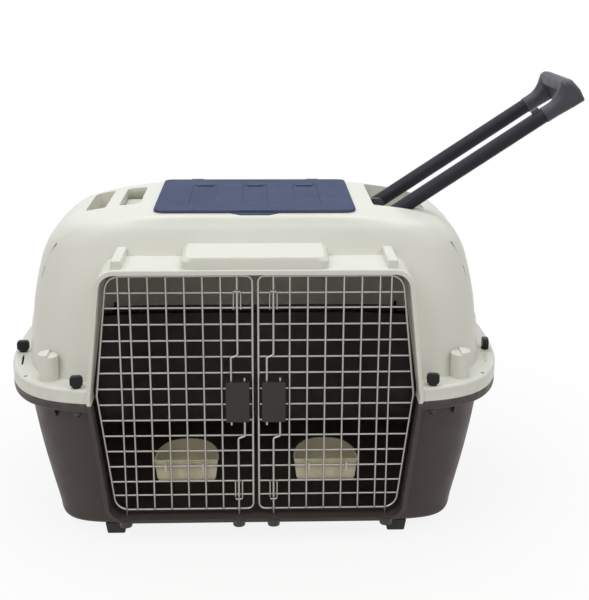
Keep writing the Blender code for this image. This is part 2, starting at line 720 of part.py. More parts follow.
def make_knobs():
    black = material("black knob plastic", (0.015, 0.015, 0.016), 0.45)
    steel = material("zinc steel", (0.55, 0.55, 0.53), 0.35, 1.0)
    nut_bottom = RIM_UNDER_Z - SEAT_GAP - NUT_HEIGHT
    for number, (x, y, turn) in enumerate(KNOBS, 1):
        joint = new_empty(f"knob_{number}_axis", (x, y, FLANGE_TOP_Z), frame)
        bm = bmesh.new()
        half = KNOB_WIDTH / 2
        outline = filleted(rectangle((-half, half), (KNOB_COLLAR * 0.6, KNOB_HEIGHT), KNOB_CORNER))
        prism(bm, outline, "Y", -KNOB_THICKNESS / 2, KNOB_THICKNESS / 2)
        bmesh.ops.rotate(bm, verts=bm.verts, matrix=Matrix.Rotation(math.radians(turn), 3, "Z"))
        bmesh.ops.translate(bm, verts=bm.verts, vec=joint.location)
        knob = link_mesh(f"knob_{number}", bm, black, joint)
        bm = bmesh.new()
        collar = KNOB_COLLAR - SEAT_GAP
        cylinder(bm, (x, y, FLANGE_TOP_Z + SEAT_GAP + collar / 2), (0, 0, 1), KNOB_COLLAR_RADIUS, collar, 12)
        collar = link_mesh(f"knob {number} collar", bm, joint=joint, helper=True)
        bm = bmesh.new()
        screw_top = FLANGE_TOP_Z + KNOB_COLLAR * 0.8
        screw_bottom = nut_bottom - SCREW_TAIL
        cylinder(bm, (x, y, (screw_top + screw_bottom) / 2), (0, 0, 1), SCREW_RADIUS, screw_top - screw_bottom, 8)
        screw = link_mesh(f"knob {number} screw", bm, joint=joint, helper=True)
        boolean(knob, collar, "UNION")
        boolean(knob, screw, "UNION")
        bm = bmesh.new()
        cylinder(bm, (x, y, nut_bottom + NUT_HEIGHT / 2), (0, 0, 1), NUT_RADIUS, NUT_HEIGHT, 6)
        nut = link_mesh(f"rim_nut_{number}", bm, steel)
        bm = bmesh.new()
        cylinder(bm, (x, y, nut_bottom), (0, 0, 1), SCREW_RADIUS + SEAT_GAP, NUT_HEIGHT * 3, 8)
        bore = link_mesh(f"nut {number} bore", bm, helper=True)
        boolean(nut, bore, "DIFFERENCE")


def door_half_x(z):
    return DOOR_HALF_X - DOORWAY_TAPER * abs(z - DOORWAY_KINK_Z)


def wire(bm, start, end):
    """A straight six-sided wire in the doors' plane, with flats to the front and back."""
    along = (Vector(end) - Vector(start)).normalized()
    across = along.cross(Vector((0, 1, 0)))
    rings = []
    for place in (start, end):
        angles = [math.radians(30 + 60 * k) for k in range(6)]
        rings.append([
            Vector(place) + WIRE_RADIUS * (Vector((0, math.cos(a), 0)) + across * math.sin(a)) for a in angles
        ])
    loft(bm, rings, cap_last=True)


def make_door(name, side, joint):
    finish = material(f"{name} steel wire", (0.42, 0.40, 0.37), 0.34, 1.0)
    corners = [
        (side * DOOR_SPLIT, DOOR_BOTTOM_Z, DOOR_INNER_CORNER),
        (side * door_half_x(DOOR_BOTTOM_Z), DOOR_BOTTOM_Z, DOOR_OUTER_CORNER),
        (side * DOOR_HALF_X, DOORWAY_KINK_Z, 0.006),
        (side * door_half_x(DOOR_TOP_Z), DOOR_TOP_Z, DOOR_OUTER_CORNER),
        (side * DOOR_SPLIT, DOOR_TOP_Z, DOOR_INNER_CORNER),
    ]
    outline = [Vector((x, DOOR_Y, z)) for x, z in filleted(corners)]
    door = link_mesh(name, tube(outline, FRAME_RADIUS, 2, cyclic=True), finish, joint)
    bm = bmesh.new()
    for k in range(UPRIGHT_COUNT):
        x = side * (FIRST_WIRE_X + WIRE_PITCH_X * k)
        wire(bm, (x, UPRIGHT_Y, DOOR_BOTTOM_Z), (x, UPRIGHT_Y, DOOR_TOP_Z))
    x = side * HINGE_X
    wire(bm, (x, UPRIGHT_Y, DOORWAY_BOTTOM_Z - SILL_HEIGHT), (x, UPRIGHT_Y, DOORWAY_TOP_Z + HINGE_REACH))
    uprights = link_mesh(f"{name} uprights", bm, joint=joint, helper=True)
    bm = bmesh.new()
    for z in BAR_HEIGHTS:
        wire(bm, (side * DOOR_SPLIT, BAR_Y, z), (side * door_half_x(z), BAR_Y, z))
    bars = link_mesh(f"{name} bars", bm, joint=joint, helper=True)
    guides = []
    leg_y = BAR_FRONT_Y - GUIDE_RADIUS + 0.0005
    front_y = ROD_Y - ROD_RADIUS - GUIDE_RADIUS - ROD_SLOT_CLEARANCE
    for far, near, way in ((BAR_HEIGHTS[-2], TOP_BAR_Z, 1), (FIRST_BAR_Z, LOW_BAR_Z, -1)):
        x = side * ROD_X
        path = [
            (x - GUIDE_HALF_X, leg_y, far - way * 0.002),
            (x - GUIDE_HALF_X, leg_y, near + way * GUIDE_RISE / 2),
            (x - GUIDE_HALF_X, front_y, near + way * GUIDE_RISE),
            (x + GUIDE_HALF_X, front_y, near + way * GUIDE_RISE),
            (x + GUIDE_HALF_X, leg_y, near + way * GUIDE_RISE / 2),
            (x + GUIDE_HALF_X, leg_y, far - way * 0.002),
        ]
        guides.append(tube(path, GUIDE_RADIUS, 1))
    guides = link_mesh(f"{name} rod guides", joined(guides), joint=joint, helper=True)
    boolean(door, uprights, "UNION")
    boolean(door, bars, "UNION")
    boolean(door, guides, "UNION")


def rod_path(corners):
    return [Vector((x, ROD_Y, z)) for x, z in filleted(corners, closed=False)]


def make_latch(name, side, joint):
    steel = material(f"{name} latch rod steel", (0.42, 0.40, 0.37), 0.34, 1.0)
    plastic = material(f"{name} latch plastic", (0.045, 0.036, 0.034), 0.42)
    x = side * ROD_X
    bend_z = LATCH_TOP_Z + ROD_BEND_ABOVE
    upper = [
        (x, DOORWAY_TOP_Z - ROD_REST_GAP, 0),
        (x, bend_z, 0.004),
        (x - ROD_JOG, bend_z - 0.0035, 0.002),
        (x - ROD_JOG, LATCH_BOTTOM_Z - ROD_STUB, 0),
    ]
    slide = new_empty(f"latch_rod_upper_{name}_axis", Vector((x, ROD_Y, bend_z)) - joint.location, joint)
    rod = link_mesh(f"latch_rod_upper_{name}", tube(rod_path(upper), ROD_RADIUS, 2), steel, slide)
    rod.location = -(joint.location + slide.location)
    bend_z = LATCH_BOTTOM_Z - ROD_BEND_BELOW
    lower = [
        (x, DOORWAY_BOTTOM_Z + ROD_REST_GAP, 0),
        (x, bend_z, 0.004),
        (x + ROD_JOG, bend_z + 0.0035, 0.002),
        (x + ROD_JOG, LATCH_TOP_Z + ROD_STUB, 0),
    ]
    slide = new_empty(f"latch_rod_lower_{name}_axis", Vector((x, ROD_Y, bend_z)) - joint.location, joint)
    rod = link_mesh(f"latch_rod_lower_{name}", tube(rod_path(lower), ROD_RADIUS, 2), steel, slide)
    rod.location = -(joint.location + slide.location)

    middle = side * LATCH_X
    housing_back = BAR_FRONT_Y - SEAT_GAP
    width = (middle - LATCH_WIDTH / 2, middle + LATCH_WIDTH / 2)
    bm = bmesh.new()
    outline = filleted(rectangle(width, (LATCH_BOTTOM_Z, LATCH_TOP_Z), 0.002))
    prism(bm, outline, "Y", DOOR_Y - LATCH_FORWARD, housing_back)
    housing = link_mesh(f"latch_housing_{name}", bm, plastic, joint)
    bm = bmesh.new()
    slot = ROD_RADIUS + ROD_SLOT_CLEARANCE
    for rod_x in (x - ROD_JOG, x + ROD_JOG):
        block(bm, (rod_x - slot, rod_x + slot), (ROD_Y - slot, housing_back + 0.002),
              (LATCH_BOTTOM_Z - 0.002, LATCH_TOP_Z + 0.002))
    slots = link_mesh(f"{name} rod slots", bm, joint=joint, helper=True)
    boolean(housing, slots, "DIFFERENCE")

    plate_front = BAR_REAR_Y + SEAT_GAP
    bm = bmesh.new()
    prism(bm, outline, "Y", plate_front, plate_front + BACK_PLATE)
    plate = link_mesh(f"latch_back_plate_{name}", bm, plastic, joint)
    bm = bmesh.new()
    rivet_front = housing_back + SEAT_GAP
    for way in (-0.5, 0.5):
        place = (middle, (rivet_front + plate_front + BACK_PLATE / 2) / 2, LATCH_Z + way * WIRE_PITCH_Z)
        cylinder(bm, place, (0, 1, 0), RIVET_RADIUS, plate_front + BACK_PLATE / 2 - rivet_front, 8)
    rivets = link_mesh(f"{name} latch rivets", bm, joint=joint, helper=True)
    boolean(plate, rivets, "UNION")


def bowl_ring(x, z, half_x, front_y, depth):
    """A cup's outline: flat at the door, round at the back."""
    count = 16
    ring = []
    for i in range(count + 1):
        angle = math.pi * i / count
        along = math.copysign(abs(math.cos(angle)) ** 0.8, math.cos(angle))
        ring.append(Vector((x + half_x * along, front_y + depth * math.sin(angle) ** 0.8, z)))
    return ring


def make_bowl(name, side, joint):
    finish = material(f"{name} cup plastic", (0.52, 0.47, 0.34), 0.45)
    x = side * BOWL_X
    front = DOOR_Y + BOWL_SETBACK
    slide = new_empty(f"bowl_{name}_axis", Vector((x, front, BOWL_RIM_Z)) - joint.location, joint)
    bm = bmesh.new()
    rings = [
        bowl_ring(x, BOWL_RIM_Z, BOWL_HALF_X, front, BOWL_DEPTH),
        bowl_ring(x, (BOWL_RIM_Z + BOWL_BOTTOM_Z) / 2, BOWL_HALF_X - BOWL_TAPER / 2, front, BOWL_DEPTH - BOWL_TAPER / 2),
        bowl_ring(x, BOWL_BOTTOM_Z, BOWL_HALF_X - BOWL_TAPER, front + 0.001, BOWL_DEPTH - BOWL_TAPER),
    ]
    loft(bm, rings, cap_first=False, cap_last=True)
    bowl = link_mesh(f"bowl_{name}", bm, finish, slide)
    bowl.location = -(joint.location + slide.location)
    solidify(bowl, BOWL_WALL)
    bm = bmesh.new()
    bar_z = FIRST_BAR_Z + WIRE_PITCH_Z
    under = bar_z + WIRE_RADIUS + SEAT_GAP
    over = under + BOWL_HOOK_THICKNESS
    lip_back = BAR_FRONT_Y - SEAT_GAP
    lip_front = lip_back - BOWL_HOOK_THICKNESS
    wall = front + BOWL_WALL / 2
    profile = [(lip_front, over), (lip_front, under - BOWL_HOOK_DROP), (lip_back, under - BOWL_HOOK_DROP),
               (lip_back, under), (wall, under), (wall, over)]
    for gap in (1.5, 2.5):
        hook_x = side * (FIRST_WIRE_X + WIRE_PITCH_X * gap)
        prism(bm, profile, "X", hook_x - BOWL_HOOK_WIDTH / 2, hook_x + BOWL_HOOK_WIDTH / 2)
    hooks = link_mesh(f"bowl {name} hooks", bm, joint=slide, helper=True)
    hooks.location = bowl.location
    boolean(bowl, hooks, "UNION")


def make_lid():
    blue = material("slate blue plastic", (0.105, 0.122, 0.192), 0.5)
    steel = material("hinge pin steel", (0.55, 0.55, 0.53), 0.35, 1.0)
    joint = new_empty("lid_axis", (0, LID_HINGE_Y, LID_AXIS_Z), frame)
    top = LID_BOTTOM_Z + LID_THICKNESS
    bm = bmesh.new()
    corners = rectangle((-LID_HALF_X, LID_HALF_X), (LID_FRONT_Y, LID_HINGE_Y), LID_CORNER)
    corners[2] = (*corners[2][:2], 0)
    corners[3] = (*corners[3][:2], 0)
    prism(bm, filleted(corners), "Z", LID_BOTTOM_Z, top)
    lid = link_mesh("lid", bm, blue, joint)
    bm = bmesh.new()
    cylinder(bm, joint.location, (1, 0, 0), LID_THICKNESS / 2, 2 * LID_HALF_X, 12)
    edge = link_mesh("lid rear edge", bm, joint=joint, helper=True)
    bm = bmesh.new()
    rim = TRAY_WALL + LID_RIM_CLEARANCE
    rim_outer = rectangle((rim - TRAY_HALF_X, TRAY_HALF_X - rim), (rim - TRAY_HALF_Y, TRAY_HALF_Y - rim), TRAY_CORNER)
    prism(bm, filleted(rim_outer), "Z", LID_BOTTOM_Z - LID_RIM_DEPTH, LID_BOTTOM_Z + LID_THICKNESS / 3)
    rim_solid = link_mesh("lid rim", bm, joint=joint, helper=True)
    bm = bmesh.new()
    prism(bm, filleted(inset(rim_outer, LID_RIM_WALL)), "Z", LID_BOTTOM_Z - 2 * LID_RIM_DEPTH, LID_BOTTOM_Z)
    rim_core = link_mesh("lid rim core", bm, joint=joint, helper=True)
    bm = bmesh.new()
    panel_y = (LID_FRONT_Y + LID_HINGE_Y) / 2
    panel_rear = panel_y + LID_PANEL_LENGTH / 2
    for x in (-LID_PANEL_X, 0, LID_PANEL_X):
        panel = rectangle((x - LID_PANEL_WIDTH / 2, x + LID_PANEL_WIDTH / 2),
                          (panel_rear - LID_PANEL_LENGTH, panel_rear), 0.006)
        prism(bm, filleted(panel), "Z", top - LID_PANEL_DEPTH, top + 0.01)
    for side in (-1, 1):
        knuckle = (side * LID_KNUCKLE_X - LID_KNUCKLE_WIDTH / 2, side * LID_KNUCKLE_X + LID_KNUCKLE_WIDTH / 2)
        block(bm, knuckle, (LID_HINGE_Y - LID_THICKNESS, LID_HINGE_Y + LID_THICKNESS), (LID_BOTTOM_Z - 0.01, top + 0.01))
    cuts = link_mesh("lid panels and knuckle slots", bm, joint=joint, helper=True)
    bm = bmesh.new()
    for x in (-LID_PANEL_X, 0, LID_PANEL_X):
        block(bm, (x - LID_LEDGE_WIDTH / 2, x + LID_LEDGE_WIDTH / 2),
              (panel_rear - 0.004 - LID_LEDGE_LENGTH, panel_rear - 0.004), (top - 2 * LID_PANEL_DEPTH, top + LID_LEDGE_HEIGHT))
    ledges = link_mesh("lid ledges", bm, joint=joint, helper=True)
    bm = bmesh.new()
    for side in (-1, 1):
        middle = joint.location + Vector((side * LID_KNUCKLE_X, 0, 0))
        cylinder(bm, middle, (1, 0, 0), LID_PIN_RADIUS + SEAT_GAP, LID_PIN_LENGTH + 2 * SEAT_GAP, 8)
    bores = link_mesh("lid pin bores", bm, joint=joint, helper=True)
    for other, operation in ((edge, "UNION"), (rim_solid, "UNION"), (rim_core, "DIFFERENCE"),
                             (cuts, "DIFFERENCE"), (ledges, "UNION"), (bores, "DIFFERENCE")):
        boolean(lid, other, operation)
    for name, side in (("left", -1), ("right", 1)):
        x = side * LID_KNUCKLE_X
        half = LID_KNUCKLE_WIDTH / 2 - SEAT_GAP
        bm = bmesh.new()
        front = LID_HINGE_Y - LID_THICKNESS + SEAT_GAP
        rear = LID_HINGE_Y + LID_THICKNESS
        prism(bm, filleted(rectangle((front, rear), (LID_BOTTOM_Z, top), 0.001)), "X", x - half, x + half)
        hinge = link_mesh(f"lid_hinge_block_{name}", bm, blue)
        bm = bmesh.new()
        middle = joint.location + Vector((x, 0, 0))
        cylinder(bm, middle, (1, 0, 0), LID_PIN_RADIUS + SEAT_GAP, LID_PIN_LENGTH, 8)
        bore = link_mesh(f"lid hinge {name} bore", bm, helper=True)
        boolean(hinge, bore, "DIFFERENCE")
        bm = bmesh.new()
        cylinder(bm, middle, (1, 0, 0), LID_PIN_RADIUS, LID_PIN_LENGTH, 8)
        link_mesh(f"lid_hinge_pin_{name}", bm, steel)


def make_tray():
    finish = material("tray plastic", (0.62, 0.61, 0.55), 0.45)
    top = ROOF_Z - WALL - SEAT_GAP
    outer = rectangle((-TRAY_HALF_X, TRAY_HALF_X), (-TRAY_HALF_Y, TRAY_HALF_Y), TRAY_CORNER)
    bm = bmesh.new()
    levels = ((outer, top - TRAY_WALL), (inset(outer, 0.004), top - TRAY_DEPTH + 0.006),
              (inset(outer, 0.010), top - TRAY_DEPTH))
    flange = [Vector((x, y, top - TRAY_WALL)) for x, y in filleted(inset(outer, -TRAY_FLANGE))]
    rings = [flange]
    for corners, z in levels:
        rings.append([Vector((x, y, z)) for x, y in filleted(corners)])
    loft(bm, rings, cap_first=False, cap_last=True)
    tray = link_mesh("storage_tray", bm, finish)
    solidify(tray, TRAY_WALL, 1)


def on_handle(along, across, y=0.0):
    """A point on the pull handle: along its tubes from the pivot, across them and beside its middle."""
    return PIVOT + HANDLE_ALONG * along + HANDLE_ACROSS * across + Vector((0, y, 0))


def handle_prism(bm, outline, low, high):
    """An outline in the handle's side view, extruded across the handle."""
    face = bm.faces.new([bm.verts.new(on_handle(s, v, low)) for s, v in outline])
    made = bmesh.ops.extrude_face_region(bm, geom=[face], use_keep_orig=True)
    moved = [item for item in made["geom"] if isinstance(item, bmesh.types.BMVert)]
    bmesh.ops.translate(bm, verts=moved, vec=(0, high - low, 0))


def make_handle():
    charcoal = material("charcoal tube", (0.032, 0.033, 0.043), 0.32, 0.6)
    grip_black = material("charcoal grip plastic", (0.035, 0.035, 0.045), 0.4)
    steel = material("handle axle steel", (0.55, 0.55, 0.53), 0.35, 1.0)
    joint = new_empty("handle_axis", PIVOT, frame)
    socket_end = HANDLE_REACH - GRIP_LENGTH + GRIP_SOCKET
    half_span = TUBE_SPACING / 2
    button_s = HANDLE_REACH - GRIP_LENGTH - BUTTON_BELOW_GRIP
    bm = bmesh.new()
    cylinder(bm, PIVOT, (0, 1, 0), AXLE_RADIUS + SEAT_GAP, TUBE_SPACING * 2, 16)
    bore = link_mesh("tube axle bore", bm, joint=joint, helper=True)
    bm = bmesh.new()
    well = (BUTTON_LENGTH / 2 + SEAT_GAP, BUTTON_WIDTH / 2 + SEAT_GAP)
    well_floor = BUTTON_TOP - BUTTON_HEIGHT - BUTTON_TRAVEL - SEAT_GAP
    outline = [(s, v) for s, v in (
        (button_s - well[0], well_floor), (button_s + well[0], well_floor),
        (button_s + well[0], BUTTON_TOP), (button_s - well[0], BUTTON_TOP))]
    handle_prism(bm, outline, -half_span - well[1], -half_span + well[1])
    button_well = link_mesh("button well", bm, joint=joint, helper=True)
    for name, side in (("front", -1), ("rear", 1)):
        low, high = on_handle(-TUBE_HEEL, 0, side * half_span), on_handle(socket_end - SEAT_GAP, 0, side * half_span)
        bm = bmesh.new()
        cylinder(bm, (low + high) / 2, high - low, TUBE_RADIUS, (high - low).length, 16)
        rail = link_mesh(f"handle_tube_{name}", bm, charcoal, joint)
        boolean(rail, bore, "DIFFERENCE")
        if side < 0:
            boolean(rail, button_well, "DIFFERENCE")
    bm = bmesh.new()
    start, end = HANDLE_REACH - GRIP_LENGTH, HANDLE_REACH
    profile = filleted([
        (start, -GRIP_RADIUS, 0),
        (end, -GRIP_RADIUS, 0.003),
        (end, GRIP_HUMP * 0.75, 0.008),
        (end - 0.008, GRIP_HUMP, 0.006),
        (end - GRIP_BAR * 0.9, GRIP_HUMP - 0.002, 0.006),
        (end - GRIP_BAR, GRIP_RADIUS + 0.001, 0.010),
        (start, GRIP_RADIUS, 0),
    ])
    handle_prism(bm, profile, -half_span - GRIP_RADIUS, half_span + GRIP_RADIUS)
    grip = link_mesh("handle_grip", bm, grip_black, joint)
    bevel(grip, 0.004, 2)
    bm = bmesh.new()
    inner = half_span - GRIP_RADIUS
    gap = filleted([
        (start - 0.01, -inner, 0), (end - GRIP_BAR, -inner, 0.012),
        (end - GRIP_BAR, inner, 0.012), (start - 0.01, inner, 0)])
    face = bm.faces.new([bm.verts.new(on_handle(s, -0.05, y)) for s, y in gap])
    made = bmesh.ops.extrude_face_region(bm, geom=[face], use_keep_orig=True)
    moved = [item for item in made["geom"] if isinstance(item, bmesh.types.BMVert)]
    bmesh.ops.translate(bm, verts=moved, vec=HANDLE_ACROSS * 0.1)
    fork = link_mesh("grip fork gap", bm, joint=joint, helper=True)
    bm = bmesh.new()
    for side in (-1, 1):
        low, high = on_handle(start - 0.01, 0, side * half_span), on_handle(socket_end, 0, side * half_span)
        cylinder(bm, (low + high) / 2, high - low, TUBE_RADIUS + SEAT_GAP, (high - low).length, 16)
    sockets = link_mesh("grip sockets", bm, joint=joint, helper=True)
    boolean(grip, fork, "DIFFERENCE")
    boolean(grip, sockets, "DIFFERENCE")

    press = new_empty("handle_button_axis", on_handle(button_s, BUTTON_TOP, -half_span) - PIVOT, joint)
    bm = bmesh.new()
    outline = [(button_s - BUTTON_LENGTH / 2, BUTTON_TOP - BUTTON_HEIGHT), (button_s + BUTTON_LENGTH / 2, BUTTON_TOP - BUTTON_HEIGHT),
               (button_s + BUTTON_LENGTH / 2, BUTTON_TOP), (button_s - BUTTON_LENGTH / 2, BUTTON_TOP)]
    handle_prism(bm, outline, -half_span - BUTTON_WIDTH / 2, -half_span + BUTTON_WIDTH / 2)
    button = link_mesh("handle_button", bm, grip_black, press)
    button.location = -(joint.location + press.location)

    bm = bmesh.new()
    axle_half = half_span + AXLE_OVERHANG
    cylinder(bm, PIVOT, (0, 1, 0), AXLE_RADIUS, 2 * axle_half, 16)
    link_mesh("handle_axle", bm, steel, joint)
    for name, side in (("front", -1), ("rear", 1)):
        y = TUBE_CENTRE_Y + side * (half_span - LUG_INSET)
        bm = bmesh.new()
        outline = rectangle(LUG_X, (RECESS_FLOOR_Z + SEAT_GAP, PIVOT_Z + LUG_RISE), LUG_RISE * 0.8)
        outline[0] = (*outline[0][:2], 0)
        outline[1] = (*outline[1][:2], 0)
        outline = filleted(outline)
        prism(bm, outline, "Y", y - LUG_THICKNESS / 2, y + LUG_THICKNESS / 2)
        lug = link_mesh(f"handle_bracket_{name}", bm, grip_black)
        bm = bmesh.new()
        cylinder(bm, (PIVOT_X, y, PIVOT_Z), (0, 1, 0), AXLE_RADIUS + SEAT_GAP, 2 * LUG_THICKNESS, 16)
        lug_bore = link_mesh(f"{name} bracket bore", bm, helper=True)
        boolean(lug, lug_bore, "DIFFERENCE")


def centre_on_origin():
    """Moves the frame so that the origin is at the bottom centre of the whole object."""
    bpy.context.view_layer.update()
    graph = bpy.context.evaluated_depsgraph_get()
    corners = []
    for obj in parts.objects:
        if obj.type == "MESH":
            evaluated = obj.evaluated_get(graph)
            corners += [evaluated.matrix_world @ Vector(corner) for corner in evaluated.bound_box]
    low = [min(corner[i] for corner in corners) for i in range(3)]
    high = [max(corner[i] for corner in corners) for i in range(3)]
    frame.location = (-(low[0] + high[0]) / 2, -(low[1] + high[1]) / 2, -low[2])


clear_scene()
parts = new_collection("pet_carrier")
helpers = new_collection("pet_carrier_cutters")
helpers.hide_render = True
frame = new_empty("pet_carrier_frame")
make_base_shell()
make_top_shell()
make_feet()
make_knobs()
for door_name, door_side in (("left", -1), ("right", 1)):
    hinge = new_empty(f"door_{door_name}_axis", (door_side * HINGE_X, UPRIGHT_Y, DOOR_BOTTOM_Z), frame)
    make_door(f"door_{door_name}", door_side, hinge)
    make_latch(door_name, door_side, hinge)
    make_bowl(door_name, door_side, hinge)
make_tray()
make_lid()
make_handle()
centre_on_origin()
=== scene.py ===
"""Looks of the two-door pet carrier: finer shells, wire doors, latches, lid and pull handle.

Pieces are drawn in the carrier's own frame, as in the part: metres, X to the right, Y to the back, Z up, from
the floor under the middle of the shells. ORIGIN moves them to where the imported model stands.
"""

import math

import bmesh
import bpy
from mathutils import Matrix, Vector


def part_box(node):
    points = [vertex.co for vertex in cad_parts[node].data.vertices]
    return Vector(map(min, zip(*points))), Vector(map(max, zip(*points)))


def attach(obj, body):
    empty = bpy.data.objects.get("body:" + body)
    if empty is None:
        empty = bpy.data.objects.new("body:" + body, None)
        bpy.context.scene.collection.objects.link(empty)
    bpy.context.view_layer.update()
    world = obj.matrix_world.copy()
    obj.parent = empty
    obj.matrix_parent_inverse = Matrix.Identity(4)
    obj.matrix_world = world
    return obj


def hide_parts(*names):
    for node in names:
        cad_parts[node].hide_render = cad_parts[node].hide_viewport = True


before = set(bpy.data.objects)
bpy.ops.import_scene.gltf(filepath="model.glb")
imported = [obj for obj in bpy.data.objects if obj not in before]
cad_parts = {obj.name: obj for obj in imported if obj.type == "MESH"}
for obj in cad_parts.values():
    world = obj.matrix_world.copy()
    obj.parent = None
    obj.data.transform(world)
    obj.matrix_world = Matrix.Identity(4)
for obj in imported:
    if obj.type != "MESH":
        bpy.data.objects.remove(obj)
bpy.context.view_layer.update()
tray_low, tray_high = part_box("storage_tray")
ORIGIN = Vector(((tray_low.x + tray_high.x) / 2, (tray_low.y + tray_high.y) / 2, 0))

# Points of round shapes, clearances, and how far a cut passes the wall that it opens
UP = (0, 0, 1)
RING_POINTS = 160
BOWL_POINTS = 56
GRIP_ARM_SIDES = 56
SECTION_STEPS = 5
LIP_STEPS = 4
FILLET_STEP = math.radians(7.5)
SMALL_STEP = math.radians(30)
KNOB_STEP = math.radians(15)
SMOOTH_ANGLE = math.radians(32)
WIRE_SMOOTH_ANGLE = math.radians(50)
SOFT_EDGE = 0.0005
SEAT_GAP = 0.0003
CUT_REACH = 0.02
CORE_REACH = 0.06

# Shells
FLOOR_Z = 0.018
RIM_UNDER_Z = 0.207
RIM_JOINT_Z = 0.222
FLANGE_TOP_Z = 0.243
ROOF_Z = 0.473
WALL = 0.003
LIP_ROUND = 0.0045
FLANGE_HALF_X = 0.377
FLANGE_HALF_Y = 0.242
FLANGE_POWERS = (6.5, 2.6)
DOME_HALF_X = 0.350
DOME_HALF_Y = 0.212
TUB_HALF_X = 0.337
TUB_HALF_Y = 0.2275
DOME_SECTIONS = (
    (1.000, 0.450, 0.630, 8.0, 7.0),
    (0.985, 0.580, 0.650, 7.5, 6.0),
    (0.952, 0.723, 0.672, 7.0, 5.0),
    (0.913, 0.809, 0.697, 6.5, 4.4),
    (0.835, 0.874, 0.728, 6.0, 4.0),
    (0.757, 0.909, 0.752, 6.0, 3.7),
    (0.639, 0.940, 0.792, 6.0, 3.4),
    (0.387, 0.977, 0.873, 6.0, 3.2),
    (0.000, 1.000, 1.000, 6.0, 3.0),
)
TUB_SECTIONS = (
    (1.000, 1.046, 0.993, 1.007, 6.5, 3.0),
    (0.874, 1.027, 0.985, 0.985, 6.5, 3.4),
    (0.503, 0.969, 0.958, 0.892, 7.0, 5.0),
    (0.141, 0.908, 0.938, 0.774, 8.0, 6.5),
    (0.050, 0.890, 0.932, 0.748, 9.0, 8.0),
    (0.014, 0.875, 0.921, 0.722, 10.0, 8.0),
    (0.000, 0.853, 0.910, 0.702, 10.0, 8.0),
)

# Doorway
KINK_Z = 0.228
DOORWAY_HALF_X = 0.235
TAPER = 0.115
DOORWAY_TOP_Z = 0.412
DOORWAY_BOTTOM_Z = 0.039
DOORWAY_CORNER = 0.022
SURROUND_FRONT_Y = -0.240
SURROUND_WIDTH = 0.006
SURROUND_TAB_Z = 0.219
HOOD_THICKNESS = 0.007
HOOD_DEPTH = 0.100
HOOD_ROUND = 0.0016
SURROUND_DEPTH = 0.05
SURROUND_ROUND = 0.0012
DOORWAY_CUT_REACH = 0.03
SILL_HEIGHT = 0.0055
NUB_HEIGHTS = (0.128, 0.150, 0.172, 0.195)
NUB_RADIUS = 0.0013
GUSSET_X = 0.292
GUSSET_THICKNESS = 0.003
GUSSET_PROFILE = (
    (-0.217, RIM_UNDER_Z + 0.001),
    (-0.213, RIM_UNDER_Z - 0.006),
    (-0.196, 0.184),
    (-0.190, 0.184),
    (-0.190, RIM_UNDER_Z + 0.001),
)
HEADER_HALF_X = 0.1025
HEADER_TOP_Z = 0.436
HEADER_SETBACK = 0.004
HEADER_SLOPE = 0.0062
HEADER_SHOULDER = 0.006
HEADER_CORNER = 0.012
HEADER_ROUND = 0.0009
EAR_WIDTH = 0.014
EAR_TOP_Z = 0.431
EAR_SETBACK = 0.008
EAR_ROUND = 0.0018
KEEPER_RADIUS = 0.009
KEEPER_DROP = 0.0045
KEEPER_REACH = 0.006
KEEPER_DEPTH = 0.032
KEEPER_ROUND = 0.0008
KEEPER_STEP = 0.0004
KEEPER_HOLE_Z = DOORWAY_BOTTOM_Z + 0.007
ROD_HOLE_Z = DOORWAY_TOP_Z - 0.012
HINGE_HOLE_Z = DOORWAY_TOP_Z - 0.0048
TOWER_X = 0.300
TOWER_Y = 0.189
TOWER_RADIUS = 0.014
TOWER_TOP_Z = 0.2825
TOWER_STEP = 0.0035
TOWER_ROUND = 0.0007

# Openings in the dome's ends and in the lip
VENT_FRONT_Y = -0.115
VENT_COUNT = 6
VENT_PITCH = 0.046
VENT_LOW_WIDTH = 0.0024
VENT_TOP_WIDTH = 0.0042
VENT_LOW_Z = 0.375
VENT_TOP_Z = 0.428
VENT_INNER_X = 0.272
VENT_CORNER = 0.0014
END_PANEL = (
    (0.180, -0.129),
    (0.223, -0.132),
    (0.261, -0.128),
    (0.287, -0.121),
    (0.320, -0.111),
    (0.400, -0.104),
)
END_PANEL_DEPTH = 0.0017
END_PANEL_LOW_Z = 0.300
LIP_PAD = ((0.3347, -0.1492), (0.3528, -0.1581), (0.385, -0.1640), (0.385, -0.0815), (0.340, -0.0815))
LIP_PAD_DEPTH = 0.0009
LIP_SLOT_ENDS = ((0.3514, -0.129), (0.3577, -0.085))
LIP_SLOT_WIDTH = 0.003
LIP_SLOT_CORNER = 0.0013
LIP_HOLE = (0.3365, -0.1775)
LIP_HOLE_RADIUS = 0.003

# Doors
DOOR_Y = -0.221
DOOR_SPLIT = 0.0042
DOOR_HALF_X = 0.228
DOOR_TOP_Z = 0.406
DOOR_BOTTOM_Z = 0.047
FRAME_RADIUS = 0.0018
WIRE_RADIUS = 0.0015
LAYER_OFFSET = 0.0011
WIRE_PITCH_X = 0.0254
WIRE_PITCH_Z = 0.0243
FIRST_WIRE_X = 0.04855
FIRST_BAR_Z = 0.0920
HINGE_X = 0.1916
HINGE_REACH = 0.0145
UPRIGHT_Y = DOOR_Y - LAYER_OFFSET
BAR_Y = DOOR_Y + LAYER_OFFSET
BAR_HEIGHTS = [0.070, *(FIRST_BAR_Z + WIRE_PITCH_Z * k for k in range(12)), 0.3815]
BAR_FRONT_Y = BAR_Y - WIRE_RADIUS
BAR_REAR_Y = BAR_Y + WIRE_RADIUS
PIN_CLEARANCE = 0.0007
DOOR_UPRIGHTS = 6
DOOR_OUTER_CORNER = 0.021
DOOR_INNER_CORNER = 0.009
DOOR_KINK_CORNER = 0.006

